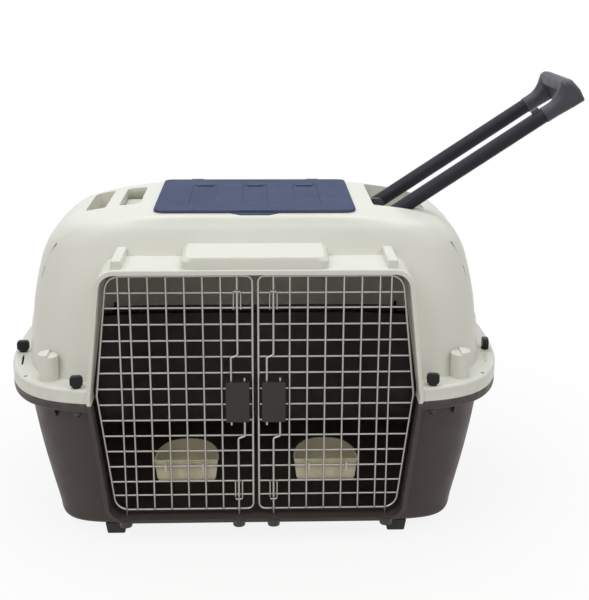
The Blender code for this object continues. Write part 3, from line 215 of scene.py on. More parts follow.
# Latches
ROD_X = 0.0255
ROD_RADIUS = 0.00165
ROD_Y = DOOR_Y - 0.0040
ROD_REST_GAP = 0.0005
ROD_JOG = 0.0095
ROD_STUB = 0.006
GUIDE_HALF_X = 0.005
GUIDE_RADIUS = 0.0012
GUIDE_SUNK = 0.0007
GUIDE_GAP = 0.0004
LATCH_X = 0.026
LATCH_WIDTH = 0.034
LATCH_HEIGHT = 0.061
LATCH_Z = 0.2195
LATCH_CORNER = 0.002
LATCH_ROUND = 0.0009
LATCH_FRONT_Y = DOOR_Y - 0.0095
LATCH_TOP_Z = LATCH_Z + LATCH_HEIGHT / 2
LATCH_BOTTOM_Z = LATCH_Z - LATCH_HEIGHT / 2
UPPER_BEND_Z = LATCH_TOP_Z + 0.040
LOWER_BEND_Z = LATCH_BOTTOM_Z - 0.027
ROD_BEND_DROP = 0.0035
ROD_BEND_CORNERS = (0.004, 0.002)
ROD_SLOT_GAP = 0.0004
BACK_PLATE = 0.0018
RIVET_RADIUS = 0.002

# Cups
BOWL_X = 0.1025
BOWL_HALF_X = 0.0465
BOWL_DEPTH = 0.0775
BOWL_RIM_Z = 0.124
BOWL_BOTTOM_Z = 0.092
BOWL_WALL = 0.002
BOWL_FRONT_Y = DOOR_Y + 0.0045
BOWL_TAPER = 0.004
BOWL_SHARES = (0, 0.06, 0.3, 0.6, 0.85, 0.95, 1.0)
BOWL_FOOT_ROUND = 0.0015
BOWL_ROUNDNESS = 0.8
BOWL_BEAD = 0.0011
BOWL_HOOK = 0.002
BOWL_HOOK_DROP = 0.010
BOWL_CLIPS = (-0.0247, 0.0300)
BOWL_CLIP_WIDTH = 0.0034
BOWL_RIBS = (-0.0140, -0.0105, 0.0125, 0.0160)
BOWL_RIB_WIDTH = 0.0014
BOWL_RIB_HEIGHT = 0.0009

# Lid and tray
LID_HALF_X = 0.149
LID_FRONT_Y = -0.122
LID_HINGE_Y = 0.120
LID_THICKNESS = 0.0045
LID_BOTTOM_Z = ROOF_Z + SEAT_GAP
LID_TOP_Z = LID_BOTTOM_Z + LID_THICKNESS
LID_AXIS_Z = LID_BOTTOM_Z + LID_THICKNESS / 2
LID_PANEL_X = 0.080
LID_PANEL_WIDTH = 0.040
LID_PANEL_LENGTH = 0.150
LID_PANEL_CORNER = 0.006
LID_CORNER = 0.018
LID_REAR_CORNER = 0.012
LID_ROUND = 0.0014
LID_ROLL_INSET = 0.0145
LID_ROLL_RADIUS = 0.00205
LID_KNUCKLE_X = 0.095
LID_KNUCKLE_WIDTH = 0.020
LID_PANEL_DEPTH = 0.0012
LID_RIM = 0.002
LID_RIM_DROP = 0.005
LID_TAB_GAP = 0.0012
LID_TAB_BOTTOM_Z = ROOF_Z - 0.0045
LID_LEDGE_WIDTH = 0.026
TRAY_HALF_X = 0.135
TRAY_HALF_Y = 0.106
TRAY_CORNER = 0.020
TRAY_DEPTH = 0.070
TRAY_WALL = 0.002
TRAY_RIM = 0.008
TRAY_TAPER = 0.004
TRAY_ROUND = 0.006
TRAY_ROUND_STEPS = 4
NOTCH_HALF_X = 0.036
NOTCH_TAPER = 0.013
NOTCH_LENGTH = 0.012
NOTCH_DEPTH = 0.012
NOTCH_CORNER = 0.006
NOTCH_BACK_Y = LID_FRONT_Y + 0.003

# Roof pockets
POCKET_Y = (-0.047, 0.085)
POCKET_INNER_X = (-0.207, -0.175)
POCKET_OUTER_X = (-0.258, -0.227)
POCKET_CORNER = 0.007
POCKET_WIDE_CORNER = 0.020
POCKET_FLOOR_Z = 0.430
CARRY_BAR_UNDER_Z = 0.452
POCKET_HOLE = ((-0.2165, 0.4395), (-0.2005, 0.4395), (-0.2060, 0.4545), (-0.2115, 0.4545))
RECESS_X = (0.1805, 0.262)
RECESS_Y = (-0.058, 0.112)
RECESS_STEP_X = 0.2432
RECESS_STEP_Y = -0.034
RECESS_STEP_CORNER = 0.002

# Pull handle
HANDLE_ANGLE = math.radians(33.8)
PIVOT = Vector((0.197, 0.014, 0.446))
HALF_SPAN = 0.060
TUBE_RADIUS = 0.01125
TUBE_HEEL = 0.009
HANDLE_REACH = 0.3505
GRIP_LENGTH = 0.0635
GRIP_SOCKET = 0.028
GRIP_ROUND = 0.0012
AXLE_RADIUS = 0.004
AXLE_GAP = 0.0003
AXLE_ROUND = 0.0008
AXLE_HALF_LENGTH = HALF_SPAN + 0.011
BUTTON_S = HANDLE_REACH - GRIP_LENGTH - 0.008
BUTTON = (0.006, 0.0035)
BUTTON_WELL = (0.0063, 0.0038)
BUTTON_TOP = 0.016
BUTTON_ROUND = 0.0009
BUTTON_BOTTOM = 0.006
BUTTON_WELL_FLOOR = 0.0027
HANDLE_ALONG = Vector((math.cos(HANDLE_ANGLE), 0, math.sin(HANDLE_ANGLE)))
HANDLE_ACROSS = Vector((-math.sin(HANDLE_ANGLE), 0, math.cos(HANDLE_ANGLE)))

# Grip arm sections: distance before the grip's end, underside, top, half width, power of the outline
GRIP_ARM_SECTIONS = (
    (0.0635, -0.0123, 0.0123, 0.0123, 2.0),
    (0.0500, -0.0123, 0.0123, 0.0123, 2.0),
    (0.0420, -0.0126, 0.0133, 0.0125, 2.1),
    (0.0340, -0.0130, 0.0165, 0.0128, 2.3),
    (0.0270, -0.0133, 0.0210, 0.0131, 2.5),
    (0.0210, -0.0135, 0.0262, 0.0133, 2.6),
    (0.0150, -0.0136, 0.0285, 0.0133, 2.6),
)
# Grip bar outline in the side view: distance before the grip's end, height and corner radius
GRIP_BAR_OUTLINE = (
    (0.0250, -0.0137, 0.003),
    (0.0010, -0.0143, 0.003),
    (-0.0007, 0.0045, 0.020),
    (0.0030, 0.0240, 0.006),
    (0.0105, 0.0300, 0.006),
    (0.0195, 0.0292, 0.005),
    (0.0250, 0.0180, 0.005),
)
# How far past the tubes' centres the bar's ends reach, and how much smaller they are there
GRIP_BAR_ENDS = ((0.0, 1.0), (0.0060, 0.96), (0.0100, 0.86), (0.0124, 0.70), (0.0133, 0.50))

# Clamp knobs, as (x, y, turn in degrees)
KNOBS = (
    (-0.255, -0.226, 6.0),
    (0.255, -0.226, -10.0),
    (-0.361, -0.070, 4.0),
    (0.361, -0.070, 88.0),
    (-0.361, 0.070, 75.0),
    (0.361, 0.070, 20.0),
    (-0.255, 0.226, -15.0),
    (0.255, 0.226, 12.0),
)
KNOB_WIDTH = 0.0185
KNOB_HEIGHTS = (0.0024, 0.018)
KNOB_CORNER = 0.005
KNOB_ROUND = 0.0012
KNOB_THICKNESS = 0.009
COLLAR_RADIUS = 0.006
COLLAR_HEIGHT = 0.0037
COLLAR_ROUND = 0.0006
SCREW_RADIUS = 0.0025
SCREW_TOP_Z = FLANGE_TOP_Z + 0.0032
SCREW_HOLE = 0.0032
NUT_HEIGHT = 0.005
SCREW_PAST_NUT = 0.003

# Feet
FOOT_X = 0.211
FOOT_WIDTH = 0.032
FOOT_LENGTH = 0.038
FOOT_TAPER = 0.003
FOOT_ROUND = 0.002
FOOT_YS = (("front", -0.188), ("rear", 0.110))

# Finishes: scales of the noise, per metre
CLOUD_SCALE = 9
FLECK_SCALE = 260
FLECK_SHARE = 0.45
GLOSS_SCALE = 38
WAVE_SCALE = 55
SCRATCH_SCALE = 90

# Stage
WORLD_LIGHT = 0.24
FLOOR_SIZE = 30
FLOOR_Z_OFFSET = -0.0005
FLOOR_COLOUR = (0.80, 0.77, 0.71, 1)
FLOOR_GLOW = (0.88, 1.0, 0.35, 0.8)
WHITE = (1, 1, 1, 1)
# Lights: name, place, target, size, power, tint
LIGHTS = (
    ("key_left", (-1.6, -1.6, 2.4), (0, 0, 0.2), (1.8, 1.6), 27, (0.95, 0.985, 1.0)),
    ("key_right", (1.6, -1.6, 2.4), (0, 0, 0.2), (1.8, 1.6), 21, (0.95, 0.985, 1.0)),
    ("top", (0, 0.4, 2.6), (0, 0, 0.3), (2.4, 1.8), 34, (0.94, 0.985, 1.0)),
)
CAMERA_LENS = 66
CAMERA_SENSOR = 36
CAMERA_PLACE = Vector((0.0045, -1.69734, 0.82104))
CAMERA_RIGHT = Vector((0.999447, -0.032911, 0.004632))
CAMERA_UP = Vector((0.005173, 0.291729, 0.956487))
CAMERA_FORWARD = Vector((0.032831, 0.955934, -0.291739))


# ---- Shapes ----

def link(name, bm):
    bmesh.ops.recalc_face_normals(bm, faces=bm.faces)
    mesh = bpy.data.meshes.new(name)
    bm.to_mesh(mesh)
    bm.free()
    obj = bpy.data.objects.new(name, mesh)
    bpy.context.scene.collection.objects.link(obj)
    return obj


def settle(obj):
    """Turns what the modifiers make into the object's own mesh."""
    bpy.context.view_layer.update()
    graph = bpy.context.evaluated_depsgraph_get()
    mesh = bpy.data.meshes.new_from_object(obj.evaluated_get(graph))
    obj.modifiers.clear()
    old = obj.data
    obj.data = mesh
    bpy.data.meshes.remove(old)
    return obj


def combine(obj, other, operation):
    """Adds, cuts or keeps what another shape covers, and removes that shape."""
    modifier = obj.modifiers.new(operation, "BOOLEAN")
    modifier.operation = operation
    modifier.object = other
    modifier.solver = "EXACT"
    settle(obj)
    bpy.data.objects.remove(other)
    return obj


def rounded(obj, width, segments=3, angle=40):
    modifier = obj.modifiers.new("Rounded", "BEVEL")
    modifier.width = width
    modifier.segments = segments
    modifier.limit_method = "ANGLE"
    modifier.angle_limit = math.radians(angle)
    return settle(obj)


def dress(obj, finish, slot, body, *nodes, weighted=True, angle=SMOOTH_ANGLE):
    """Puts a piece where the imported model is, gives it a finish and the body that carries it."""
    mesh = obj.data
    mesh.transform(Matrix.Translation(ORIGIN))
    mesh.shade_smooth()
    mesh.set_sharp_from_angle(angle=angle)
    mesh.materials.clear()
    mesh.materials.append(finish)
    if weighted:
        modifier = obj.modifiers.new("Normals", "WEIGHTED_NORMAL")
        modifier.keep_sharp = True
        modifier.weight = 60
    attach(obj, body)
    if nodes:
        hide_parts(*nodes)
    return obj


def filleted(corners, closed=True, step=FILLET_STEP):
    """Points of an outline whose corners, given as (a, b, radius), are rounded by arcs."""
    count = len(corners)
    points = []
    for i, (a, b, radius) in enumerate(corners):
        corner = Vector((a, b))
        if radius == 0 or (not closed and i in (0, count - 1)):
            points.append(corner)
            continue
        back = Vector(corners[i - 1][:2]) - corner
        ahead = Vector(corners[(i + 1) % count][:2]) - corner
        half_angle = back.angle(ahead) / 2
        reach = min(radius / math.tan(half_angle), 0.49 * back.length, 0.49 * ahead.length)
        radius = reach * math.tan(half_angle)
        bisector = (back.normalized() + ahead.normalized()).normalized()
        centre = corner + bisector * radius / math.sin(half_angle)
        start = corner + back.normalized() * reach - centre
        end = corner + ahead.normalized() * reach - centre
        turn = start.angle_signed(end)
        steps = max(1, round(abs(turn) / step))
        for k in range(steps + 1):
            points.append(centre + Matrix.Rotation(-turn * k / steps, 2) @ start)
    return points


def inset(corners, distance):
    moved = []
    count = len(corners)
    for i in range(count):
        before, here, after = (Vector(corners[(i + k) % count][:2]) for k in (-1, 0, 1))
        first = (here - before).normalized()
        second = (after - here).normalized()
        normal = Vector((-first.y, first.x))
        other = Vector((-second.y, second.x))
        share = distance / (1 + normal.dot(other))
        moved.append((*(here + (normal + other) * share), max(corners[i][2] - distance, 0)))
    return moved


def rectangle(x_range, y_range, radius, other=None, *others):
    """Corners of a rectangle; those numbered in others have the other radius."""
    (left, right), (front, rear) = x_range, y_range
    places = ((left, front), (right, front), (right, rear), (left, rear))
    return [(*place, other if number in others else radius) for number, place in enumerate(places)]


AXES = {
    "X": lambda a, b, depth: Vector((depth, a, b)),
    "Y": lambda a, b, depth: Vector((a, depth, b)),
    "Z": lambda a, b, depth: Vector((a, b, depth)),
}


def loft(bm, rings, cap_first=True, cap_last=False, close=True):
    loops = [[bm.verts.new(point) for point in ring] for ring in rings]
    for upper, lower in zip(loops, loops[1:]):
        for i in range(len(upper) if close else len(upper) - 1):
            k = (i + 1) % len(upper)
            bm.faces.new((upper[i], lower[i], lower[k], upper[k]))
    if cap_first:
        bm.faces.new(loops[0])
    if cap_last:
        bm.faces.new(loops[-1])


def prism(bm, outline, axis, low, high):
    at = AXES[axis]
    loft(bm, [[at(a, b, depth) for a, b in outline] for depth in (low, high)], cap_last=True)


def frustum(bm, levels, axis="Z"):
    """A solid through outlines of equal point counts, given as (outline, depth)."""
    at = AXES[axis]
    loft(bm, [[at(a, b, depth) for a, b in outline] for outline, depth in levels], cap_last=True)


def solid(name, draw, *values, **options):
    """One shape as an object, drawn by one of these functions."""
    bm = bmesh.new()
    draw(bm, *values, **options)
    return link(name, bm)


def several(name, draw, rows):
    """Shapes of one kind as one object."""
    bm = bmesh.new()
    for values in rows:
        draw(bm, *values)
    return link(name, bm)


def cylinder(bm, centre, axis, radius, length, sides=32):
    direction = Vector(axis).normalized()
    matrix = Matrix.Translation(centre) @ direction.to_track_quat("Z", "Y").to_matrix().to_4x4()
    bmesh.ops.create_cone(bm, cap_ends=True, segments=sides, radius1=radius, radius2=radius, depth=length,
                          matrix=matrix)


def block(bm, x_range, y_range, z_range):
    size = [high - low for low, high in (x_range, y_range, z_range)]
    middle = [(low + high) / 2 for low, high in (x_range, y_range, z_range)]
    bmesh.ops.create_cube(bm, size=1, matrix=Matrix.Translation(middle) @ Matrix.Diagonal((*size, 1)))


def around(middle, width):
    return middle - width / 2, middle + width / 2


def bulged(value, power):
    return math.copysign(abs(value) ** power, value)


def oval(half_x, front_y, rear_y, z, powers):
    middle = (front_y + rear_y) / 2
    half_y = (rear_y - front_y) / 2
    ring = []
    for i in range(RING_POINTS):
        angle = 2 * math.pi * (i + 0.5) / RING_POINTS
        along, across = bulged(math.cos(angle), 2 / powers[0]), bulged(math.sin(angle), 2 / powers[1])
        ring.append(Vector((half_x * along, middle + half_y * across, z)))
    return ring


def eased(sections):
    """More sections between the given ones, on a smooth curve through them."""
    rows = [Vector(row) for row in sections]
    made = []
    for i in range(len(rows) - 1):
        before = rows[max(i - 1, 0)]
        after = rows[min(i + 2, len(rows) - 1)]
        start, end = rows[i], rows[i + 1]
        for step in range(SECTION_STEPS):
            t = step / SECTION_STEPS
            lean_in, lean_out = (end - before) / 2, (after - start) / 2
            made.append(
                (2 * t**3 - 3 * t**2 + 1) * start
                + (t**3 - 2 * t**2 + t) * lean_in
                + (3 * t**2 - 2 * t**3) * end
                + (t**3 - t**2) * lean_out
            )
    return [*made, rows[-1]]


def tube_mesh(bm, points, radius, sides=14, cyclic=False):
    """A round bar along a path, swept with a frame that doesn't twist."""
    count = len(points)
    tangents = []
    for i in range(count):
        before = points[i - 1] if cyclic or i > 0 else points[i]
        after = points[(i + 1) % count] if cyclic or i < count - 1 else points[i]
        tangents.append((after - before).normalized())
    normal = tangents[0].orthogonal().normalized()
    loops = []
    for point, tangent in zip(points, tangents):
        normal = (normal - tangent * normal.dot(tangent)).normalized()
        side = tangent.cross(normal)
        loops.append([
            bm.verts.new(point + radius * (normal * math.cos(a) + side * math.sin(a)))
            for a in (2 * math.pi * k / sides for k in range(sides))
        ])
    pairs = list(zip(loops, loops[1:]))
    if cyclic:
        first, last = loops[0], loops[-1]
        nearest = min(range(sides), key=lambda k: (first[k].co - last[0].co).length)
        pairs.append((last, first[nearest:] + first[:nearest]))
    for one, two in pairs:
        for k in range(sides):
            bm.faces.new((one[k], one[(k + 1) % sides], two[(k + 1) % sides], two[k]))
    if not cyclic:
        bm.faces.new(list(reversed(loops[0])))
        bm.faces.new(loops[-1])


# ---- Finishes ----

def node(tree, kind, **values):
    made = tree.nodes.new(kind)
    for key, value in values.items():
        if hasattr(made, key):
            setattr(made, key, value)
        else:
            made.inputs[key].default_value = value
    return made


def noise(tree, coords, scale, detail=3.0, roughness=0.5):
    made = node(tree, "ShaderNodeTexNoise", Scale=scale, Detail=detail, Roughness=roughness)
    tree.links.new(coords, made.inputs["Vector"])
    return made.outputs["Fac"]


def spread(tree, value, low, high, from_low=0.3, from_high=0.7):
    """Maps one range of values to another and holds its ends."""
    limits = {"From Min": from_low, "From Max": from_high, "To Min": low, "To Max": high}
    made = node(tree, "ShaderNodeMapRange", **limits)
    tree.links.new(value, made.inputs["Value"])
    return made.outputs["Result"]


def maths(tree, operation, *values):
    """A sum of numbers and other nodes' outputs."""
    made = node(tree, "ShaderNodeMath", operation=operation)
    for socket, value in zip(made.inputs, values):
        if isinstance(value, float):
            socket.default_value = value
        else:
            tree.links.new(value, socket)
    return made.outputs[0]


def tinted(tree, factor, first, second):
    """Mixes two colours; the first may be another node's output."""
    made = node(tree, "ShaderNodeMix", data_type="RGBA")
    sockets = [socket for socket in made.inputs if socket.type == "RGBA"]
    for socket, colour in zip(sockets, (first, second)):
        if isinstance(colour, tuple):
            socket.default_value = (*colour, 1)
        else:
            tree.links.new(colour, socket)
    tree.links.new(factor, made.inputs["Factor"])
    return [socket for socket in made.outputs if socket.type == "RGBA"][0]


def bumped(tree, height, distance, normal):
    made = node(tree, "ShaderNodeBump", Distance=distance, Strength=1.0)
    tree.links.new(height, made.inputs["Height"])
    tree.links.new(normal, made.inputs["Normal"])
    return made.outputs["Normal"]


def finish(name, colour, second, roughness, grain=1400, grain_depth=0.00006, wave_depth=0.00010, metallic=0.0,
           rounding=0.0008, worn=None, specular=0.5):
    """A moulded or drawn surface: mottled colour, uneven gloss, fine grain, slight waviness, soft edges."""
    made = bpy.data.materials.new(name)
    made.use_nodes = True
    tree = made.node_tree
    shader = tree.nodes["Principled BSDF"]
    place = node(tree, "ShaderNodeTexCoord").outputs["Object"]
    flecks = noise(tree, place, FLECK_SCALE, 4, 0.65)
    mottled = maths(tree, "MULTIPLY_ADD", flecks, FLECK_SHARE, noise(tree, place, CLOUD_SCALE, 4))
    colour = tinted(tree, spread(tree, mottled, 0, 1, 0.45, 1.0), colour, second)
    if worn:
        edges = spread(tree, node(tree, "ShaderNodeNewGeometry").outputs["Pointiness"], 0, 1, 0.53, 0.60)
        scratches = spread(tree, noise(tree, place, SCRATCH_SCALE, 5), 0, 0.8, 0.4, 0.65)
        colour = tinted(tree, maths(tree, "MULTIPLY", edges, scratches), colour, worn)
    tree.links.new(colour, shader.inputs["Base Color"])
    gloss = spread(tree, noise(tree, place, GLOSS_SCALE, 4), roughness - 0.06, roughness + 0.08)
    tree.links.new(gloss, shader.inputs["Roughness"])
    shader.inputs["Metallic"].default_value = metallic
    shader.inputs["Specular IOR Level"].default_value = specular
    normal = node(tree, "ShaderNodeBevel", samples=4, Radius=rounding).outputs["Normal"]
    normal = bumped(tree, noise(tree, place, WAVE_SCALE, 2), wave_depth, normal)
    normal = bumped(tree, noise(tree, place, grain, 2, 0.6), grain_depth, normal)
    tree.links.new(normal, shader.inputs["Normal"])
    return made


IVORY = finish("ivory_moulding", (0.775, 0.762, 0.69), (0.75, 0.735, 0.66), 0.40, worn=(0.83, 0.82, 0.77))
TAUPE = finish("taupe_moulding", (0.058, 0.044, 0.040), (0.049, 0.037, 0.034), 0.48, grain_depth=0.0001,
               worn=(0.11, 0.095, 0.088), specular=0.4)
SLATE = finish("slate_moulding", (0.080, 0.096, 0.164), (0.068, 0.082, 0.142), 0.7, grain_depth=0.00012,
               worn=(0.13, 0.15, 0.23), specular=0.06)
TRAY = finish("tray_moulding", (0.66, 0.65, 0.585), (0.62, 0.61, 0.545), 0.45)
CHARCOAL = finish("charcoal_tube", (0.024, 0.024, 0.031), (0.020, 0.020, 0.026), 0.44, metallic=0.3,
                  grain_depth=0.00003, specular=0.2)
GRIP = finish("charcoal_moulding", (0.052, 0.049, 0.064), (0.043, 0.041, 0.054), 0.46, grain_depth=0.0001,
              worn=(0.09, 0.09, 0.105), specular=0.4)
STEEL = finish("plated_wire", (0.47, 0.445, 0.415), (0.36, 0.34, 0.315), 0.34, grain=900, metallic=1.0,
               rounding=0.0003, wave_depth=0.00005)
ZINC = finish("zinc_plate", (0.44, 0.43, 0.41), (0.34, 0.33, 0.315), 0.38, metallic=1.0, rounding=0.0003)
DARK_ZINC = finish("blackened_zinc", (0.085, 0.078, 0.074), (0.060, 0.055, 0.052), 0.45, metallic=0.9,
                   rounding=0.0003)
LATCH = finish("latch_moulding", (0.032, 0.025, 0.024), (0.026, 0.020, 0.019), 0.44,
               worn=(0.075, 0.065, 0.062), specular=0.35)
CUP = finish("cup_moulding", (0.60, 0.545, 0.39), (0.56, 0.505, 0.36), 0.44)
BLACK = finish("knob_moulding", (0.008, 0.008, 0.009), (0.012, 0.012, 0.013), 0.40, worn=(0.03, 0.03, 0.032),
               specular=0.25)
RUBBER = finish("foot_rubber", (0.014, 0.014, 0.014), (0.022, 0.021, 0.020), 0.68, grain_depth=0.0002)


# ---- Shells ----

def dome_rings(in_x=0.0, in_y=0.0, down=0.0):
    """Rings of the dome from its roof down, moved in from its ends, from its sides and from its roof."""
    rings = []
    for height, width, depth, power_x, power_y in eased(DOME_SECTIONS):
        half_x, half_y = width * DOME_HALF_X - in_x, depth * DOME_HALF_Y - in_y
        z = FLANGE_TOP_Z + height * (ROOF_Z - FLANGE_TOP_Z) - down * height
        rings.append(oval(half_x, -half_y, half_y, z, (power_x, power_y)))
    return rings


def tub_rings(inward=0.0):
    rings = []
    for height, width, front, rear, power_x, power_y in eased(TUB_SECTIONS):
        z = FLOOR_Z + height * (RIM_UNDER_Z - FLOOR_Z) + inward * (1 - height)
        front_y, rear_y = inward - front * TUB_HALF_Y, rear * TUB_HALF_Y - inward
        rings.append(oval(width * TUB_HALF_X - inward, front_y, rear_y, z, (power_x, power_y)))
    return rings


def flange_ring(z, inward=0.0):
    return oval(FLANGE_HALF_X - inward, inward - FLANGE_HALF_Y, FLANGE_HALF_Y - inward, z, FLANGE_POWERS)


def lip(z_flat, z_side, upwards):
    """Rings round a lip's edge, from the flat face to the side."""
    rings = []
    for k in range(LIP_STEPS + 1):
        angle = math.pi / 2 * k / LIP_STEPS
        inward = LIP_ROUND * (1 - math.sin(angle))
        rise = LIP_ROUND * (1 - math.cos(angle))
        rings.append(flange_ring(z_flat - rise if upwards else z_flat + rise, inward))
    rings.append(flange_ring(z_side))
    return rings


def doorway_half_x(z):
    return DOORWAY_HALF_X - TAPER * abs(z - KINK_Z)


def doorway(low, high, outward=0.0, low_radius=0.0, high_radius=DOORWAY_CORNER):
    corners = [(doorway_half_x(low) + outward, low, low_radius)]
    if low < KINK_Z < high:
        corners.append((DOORWAY_HALF_X + outward, KINK_Z, 0))
    corners.append((doorway_half_x(high) + outward, high, high_radius + outward if high_radius else 0))
    return corners + [(-x, z, radius) for x, z, radius in reversed(corners)]


def doorway_cutter(bm):
    corners = doorway(DOORWAY_BOTTOM_Z, DOORWAY_TOP_Z, low_radius=DOORWAY_CORNER)
    prism(bm, filleted(corners), "Y", SURROUND_FRONT_Y - DOORWAY_CUT_REACH,
          SURROUND_FRONT_Y + HOOD_DEPTH + DOORWAY_CUT_REACH)


def solid_wall(obj, thickness, side=-1):
    modifier = obj.modifiers.new("Wall", "SOLIDIFY")
    modifier.thickness = thickness
    modifier.offset = side
    modifier.use_even_offset = True
    return settle(obj)


def knob_holes(bm, z):
    for x, y, _ in KNOBS:
        cylinder(bm, (x, y, z), UP, SCREW_HOLE, CUT_REACH, 24)


def pin_holes(bm, rod_z, hinge_z, length):
    """Holes for the tips of the latch rods and of the doors' hinge wires."""
    for side in (-1, 1):
        cylinder(bm, (side * ROD_X, ROD_Y, rod_z), UP, ROD_RADIUS + PIN_CLEARANCE, length, 20)
        cylinder(bm, (side * HINGE_X, UPRIGHT_Y, hinge_z), UP, WIRE_RADIUS + PIN_CLEARANCE, length, 20)


def end_panels():
    """What the shallow panels round the vents take from the dome's ends."""
    bm = bmesh.new()
    for side in (-1, 1):
        edge = [(side * x, y) for x, y in END_PANEL]
        edge += [(x, -y) for x, y in reversed(edge)]
        prism(bm, edge, "Z", END_PANEL_LOW_Z, ROOF_Z + WALL)
    rings = dome_rings(END_PANEL_DEPTH, END_PANEL_DEPTH / 10)
    return combine(link("end panels", bm), solid("panel floor", loft, rings, cap_last=True), "DIFFERENCE")


def make_hood(core):
    """The doorway's upper frame with header box, ears and corner towers, cut off inside the dome's wall."""
    back = SURROUND_FRONT_Y + HOOD_DEPTH
    base_z = DOORWAY_TOP_Z + HOOD_THICKNESS / 2
    outline = filleted(doorway(SURROUND_TAB_Z, DOORWAY_TOP_Z + HOOD_THICKNESS, SURROUND_WIDTH))
    hood = rounded(solid("hood", prism, outline, "Y", SURROUND_FRONT_Y, back), HOOD_ROUND, 3, 60)
    levels = []
    for share, z in ((0, base_z), (0, HEADER_TOP_Z - HEADER_SHOULDER), (1, HEADER_TOP_Z)):
        half_x = HEADER_HALF_X - share * HEADER_SLOPE
        front = SURROUND_FRONT_Y + HEADER_SETBACK + share * HEADER_SLOPE / 3
        levels.append((filleted(rectangle((-half_x, half_x), (front, back), 0, HEADER_CORNER, 0, 1)), z))
    header = rounded(solid("header", frustum, levels), HEADER_ROUND, 3, 25)
    ears = rounded(several("ears", block, [
        (around(x, EAR_WIDTH), (SURROUND_FRONT_Y + EAR_SETBACK, back), (base_z, EAR_TOP_Z))
        for x in (-HINGE_X, HINGE_X)]), EAR_ROUND, 3)
    low = FLANGE_TOP_Z - WALL / 2
    towers = several("towers", cylinder, [
        ((x, -TOWER_Y, (TOWER_TOP_Z + low) / 2), UP, TOWER_RADIUS, TOWER_TOP_Z - low, 40)
        for x in (-TOWER_X, TOWER_X)])
    steps = several("tower steps", block, [
        (sorted((side * (TOWER_X - 2 * TOWER_RADIUS), side * (TOWER_X - SEAT_GAP))),
         (-TOWER_Y - 2 * TOWER_RADIUS, TOWER_RADIUS - TOWER_Y - SEAT_GAP),
         (TOWER_TOP_Z - TOWER_STEP, TOWER_TOP_Z + TOWER_STEP)) for side in (-1, 1)])
    towers = rounded(combine(towers, steps, "DIFFERENCE"), TOWER_ROUND, 2, 60)
    for other in (header, ears, towers):
        combine(hood, other, "UNION")
    return combine(hood, core, "DIFFERENCE")


def notch_outline(gap, back):
    """The finger notch in the roof or, with a gap all round, the lid's tab in it."""
    half = [
        (NOTCH_HALF_X - 2 * gap, back, 0),
        (NOTCH_HALF_X - 2 * gap, LID_FRONT_Y - gap, NOTCH_CORNER),
        (NOTCH_HALF_X - NOTCH_TAPER - gap, LID_FRONT_Y - NOTCH_LENGTH + gap, NOTCH_CORNER),
    ]
    return filleted([(-x, y, radius) for x, y, radius in half] + half[::-1])


def end_openings(bm, side):
    """The vents in one end of the dome, and the slot, hole and pad in the lip below them."""
    for k in range(VENT_COUNT):
        y = VENT_FRONT_Y + VENT_PITCH * k
        vent = [(edge, VENT_LOW_Z, 0) for edge in around(y, VENT_LOW_WIDTH)]
        vent += [(edge, VENT_TOP_Z, VENT_CORNER) for edge in around(y, VENT_TOP_WIDTH)[::-1]]
        prism(bm, filleted(vent, step=SMALL_STEP), "X", *sorted((side * VENT_INNER_X, side * FLANGE_HALF_X)))
    (near_x, near_y), (far_x, far_y) = LIP_SLOT_ENDS
    slot = [(x, near_y, LIP_SLOT_CORNER) for x in around(side * near_x, LIP_SLOT_WIDTH)]
    slot += [(x, far_y, LIP_SLOT_CORNER) for x in around(side * far_x, LIP_SLOT_WIDTH)[::-1]]
    prism(bm, filleted(slot, step=SMALL_STEP), "Z", RIM_JOINT_Z - WALL, FLANGE_TOP_Z + WALL)
    cylinder(bm, (side * LIP_HOLE[0], LIP_HOLE[1], FLANGE_TOP_Z), UP, LIP_HOLE_RADIUS, 5 * WALL, 28)
    prism(bm, [(side * x, y) for x, y in LIP_PAD], "Z", FLANGE_TOP_Z - LIP_PAD_DEPTH, FLANGE_TOP_Z + WALL)


def top_openings():
    bm = bmesh.new()
    above = ROOF_Z + CUT_REACH
    doorway_cutter(bm)
    prism(bm, filleted(rectangle((-TRAY_HALF_X, TRAY_HALF_X), (-TRAY_HALF_Y, TRAY_HALF_Y), TRAY_CORNER)),
          "Z", ROOF_Z - CUT_REACH, above)
    prism(bm, notch_outline(0, NOTCH_BACK_Y), "Z", ROOF_Z - NOTCH_DEPTH, above)
    for x_range, wide in ((POCKET_INNER_X, 1), (POCKET_OUTER_X, 3)):
        opening = rectangle(x_range, POCKET_Y, POCKET_CORNER, POCKET_WIDE_CORNER, wide)
        prism(bm, filleted(opening), "Z", POCKET_FLOOR_Z, above)
    for side in (-1, 1):
        end_openings(bm, side)
    prism(bm, POCKET_HOLE, "Y", POCKET_Y[1] - WALL, POCKET_Y[1] + 2 * WALL)
    recess = rectangle(RECESS_X, RECESS_Y, POCKET_CORNER)
    recess[1:2] = [
        (RECESS_STEP_X, RECESS_Y[0], RECESS_STEP_CORNER),
        (RECESS_STEP_X, RECESS_STEP_Y, RECESS_STEP_CORNER),
        (RECESS_X[1], RECESS_STEP_Y, POCKET_CORNER),
    ]
    prism(bm, filleted(recess), "Z", POCKET_FLOOR_Z, above)
    knob_holes(bm, FLANGE_TOP_Z)
    return link("openings", bm)


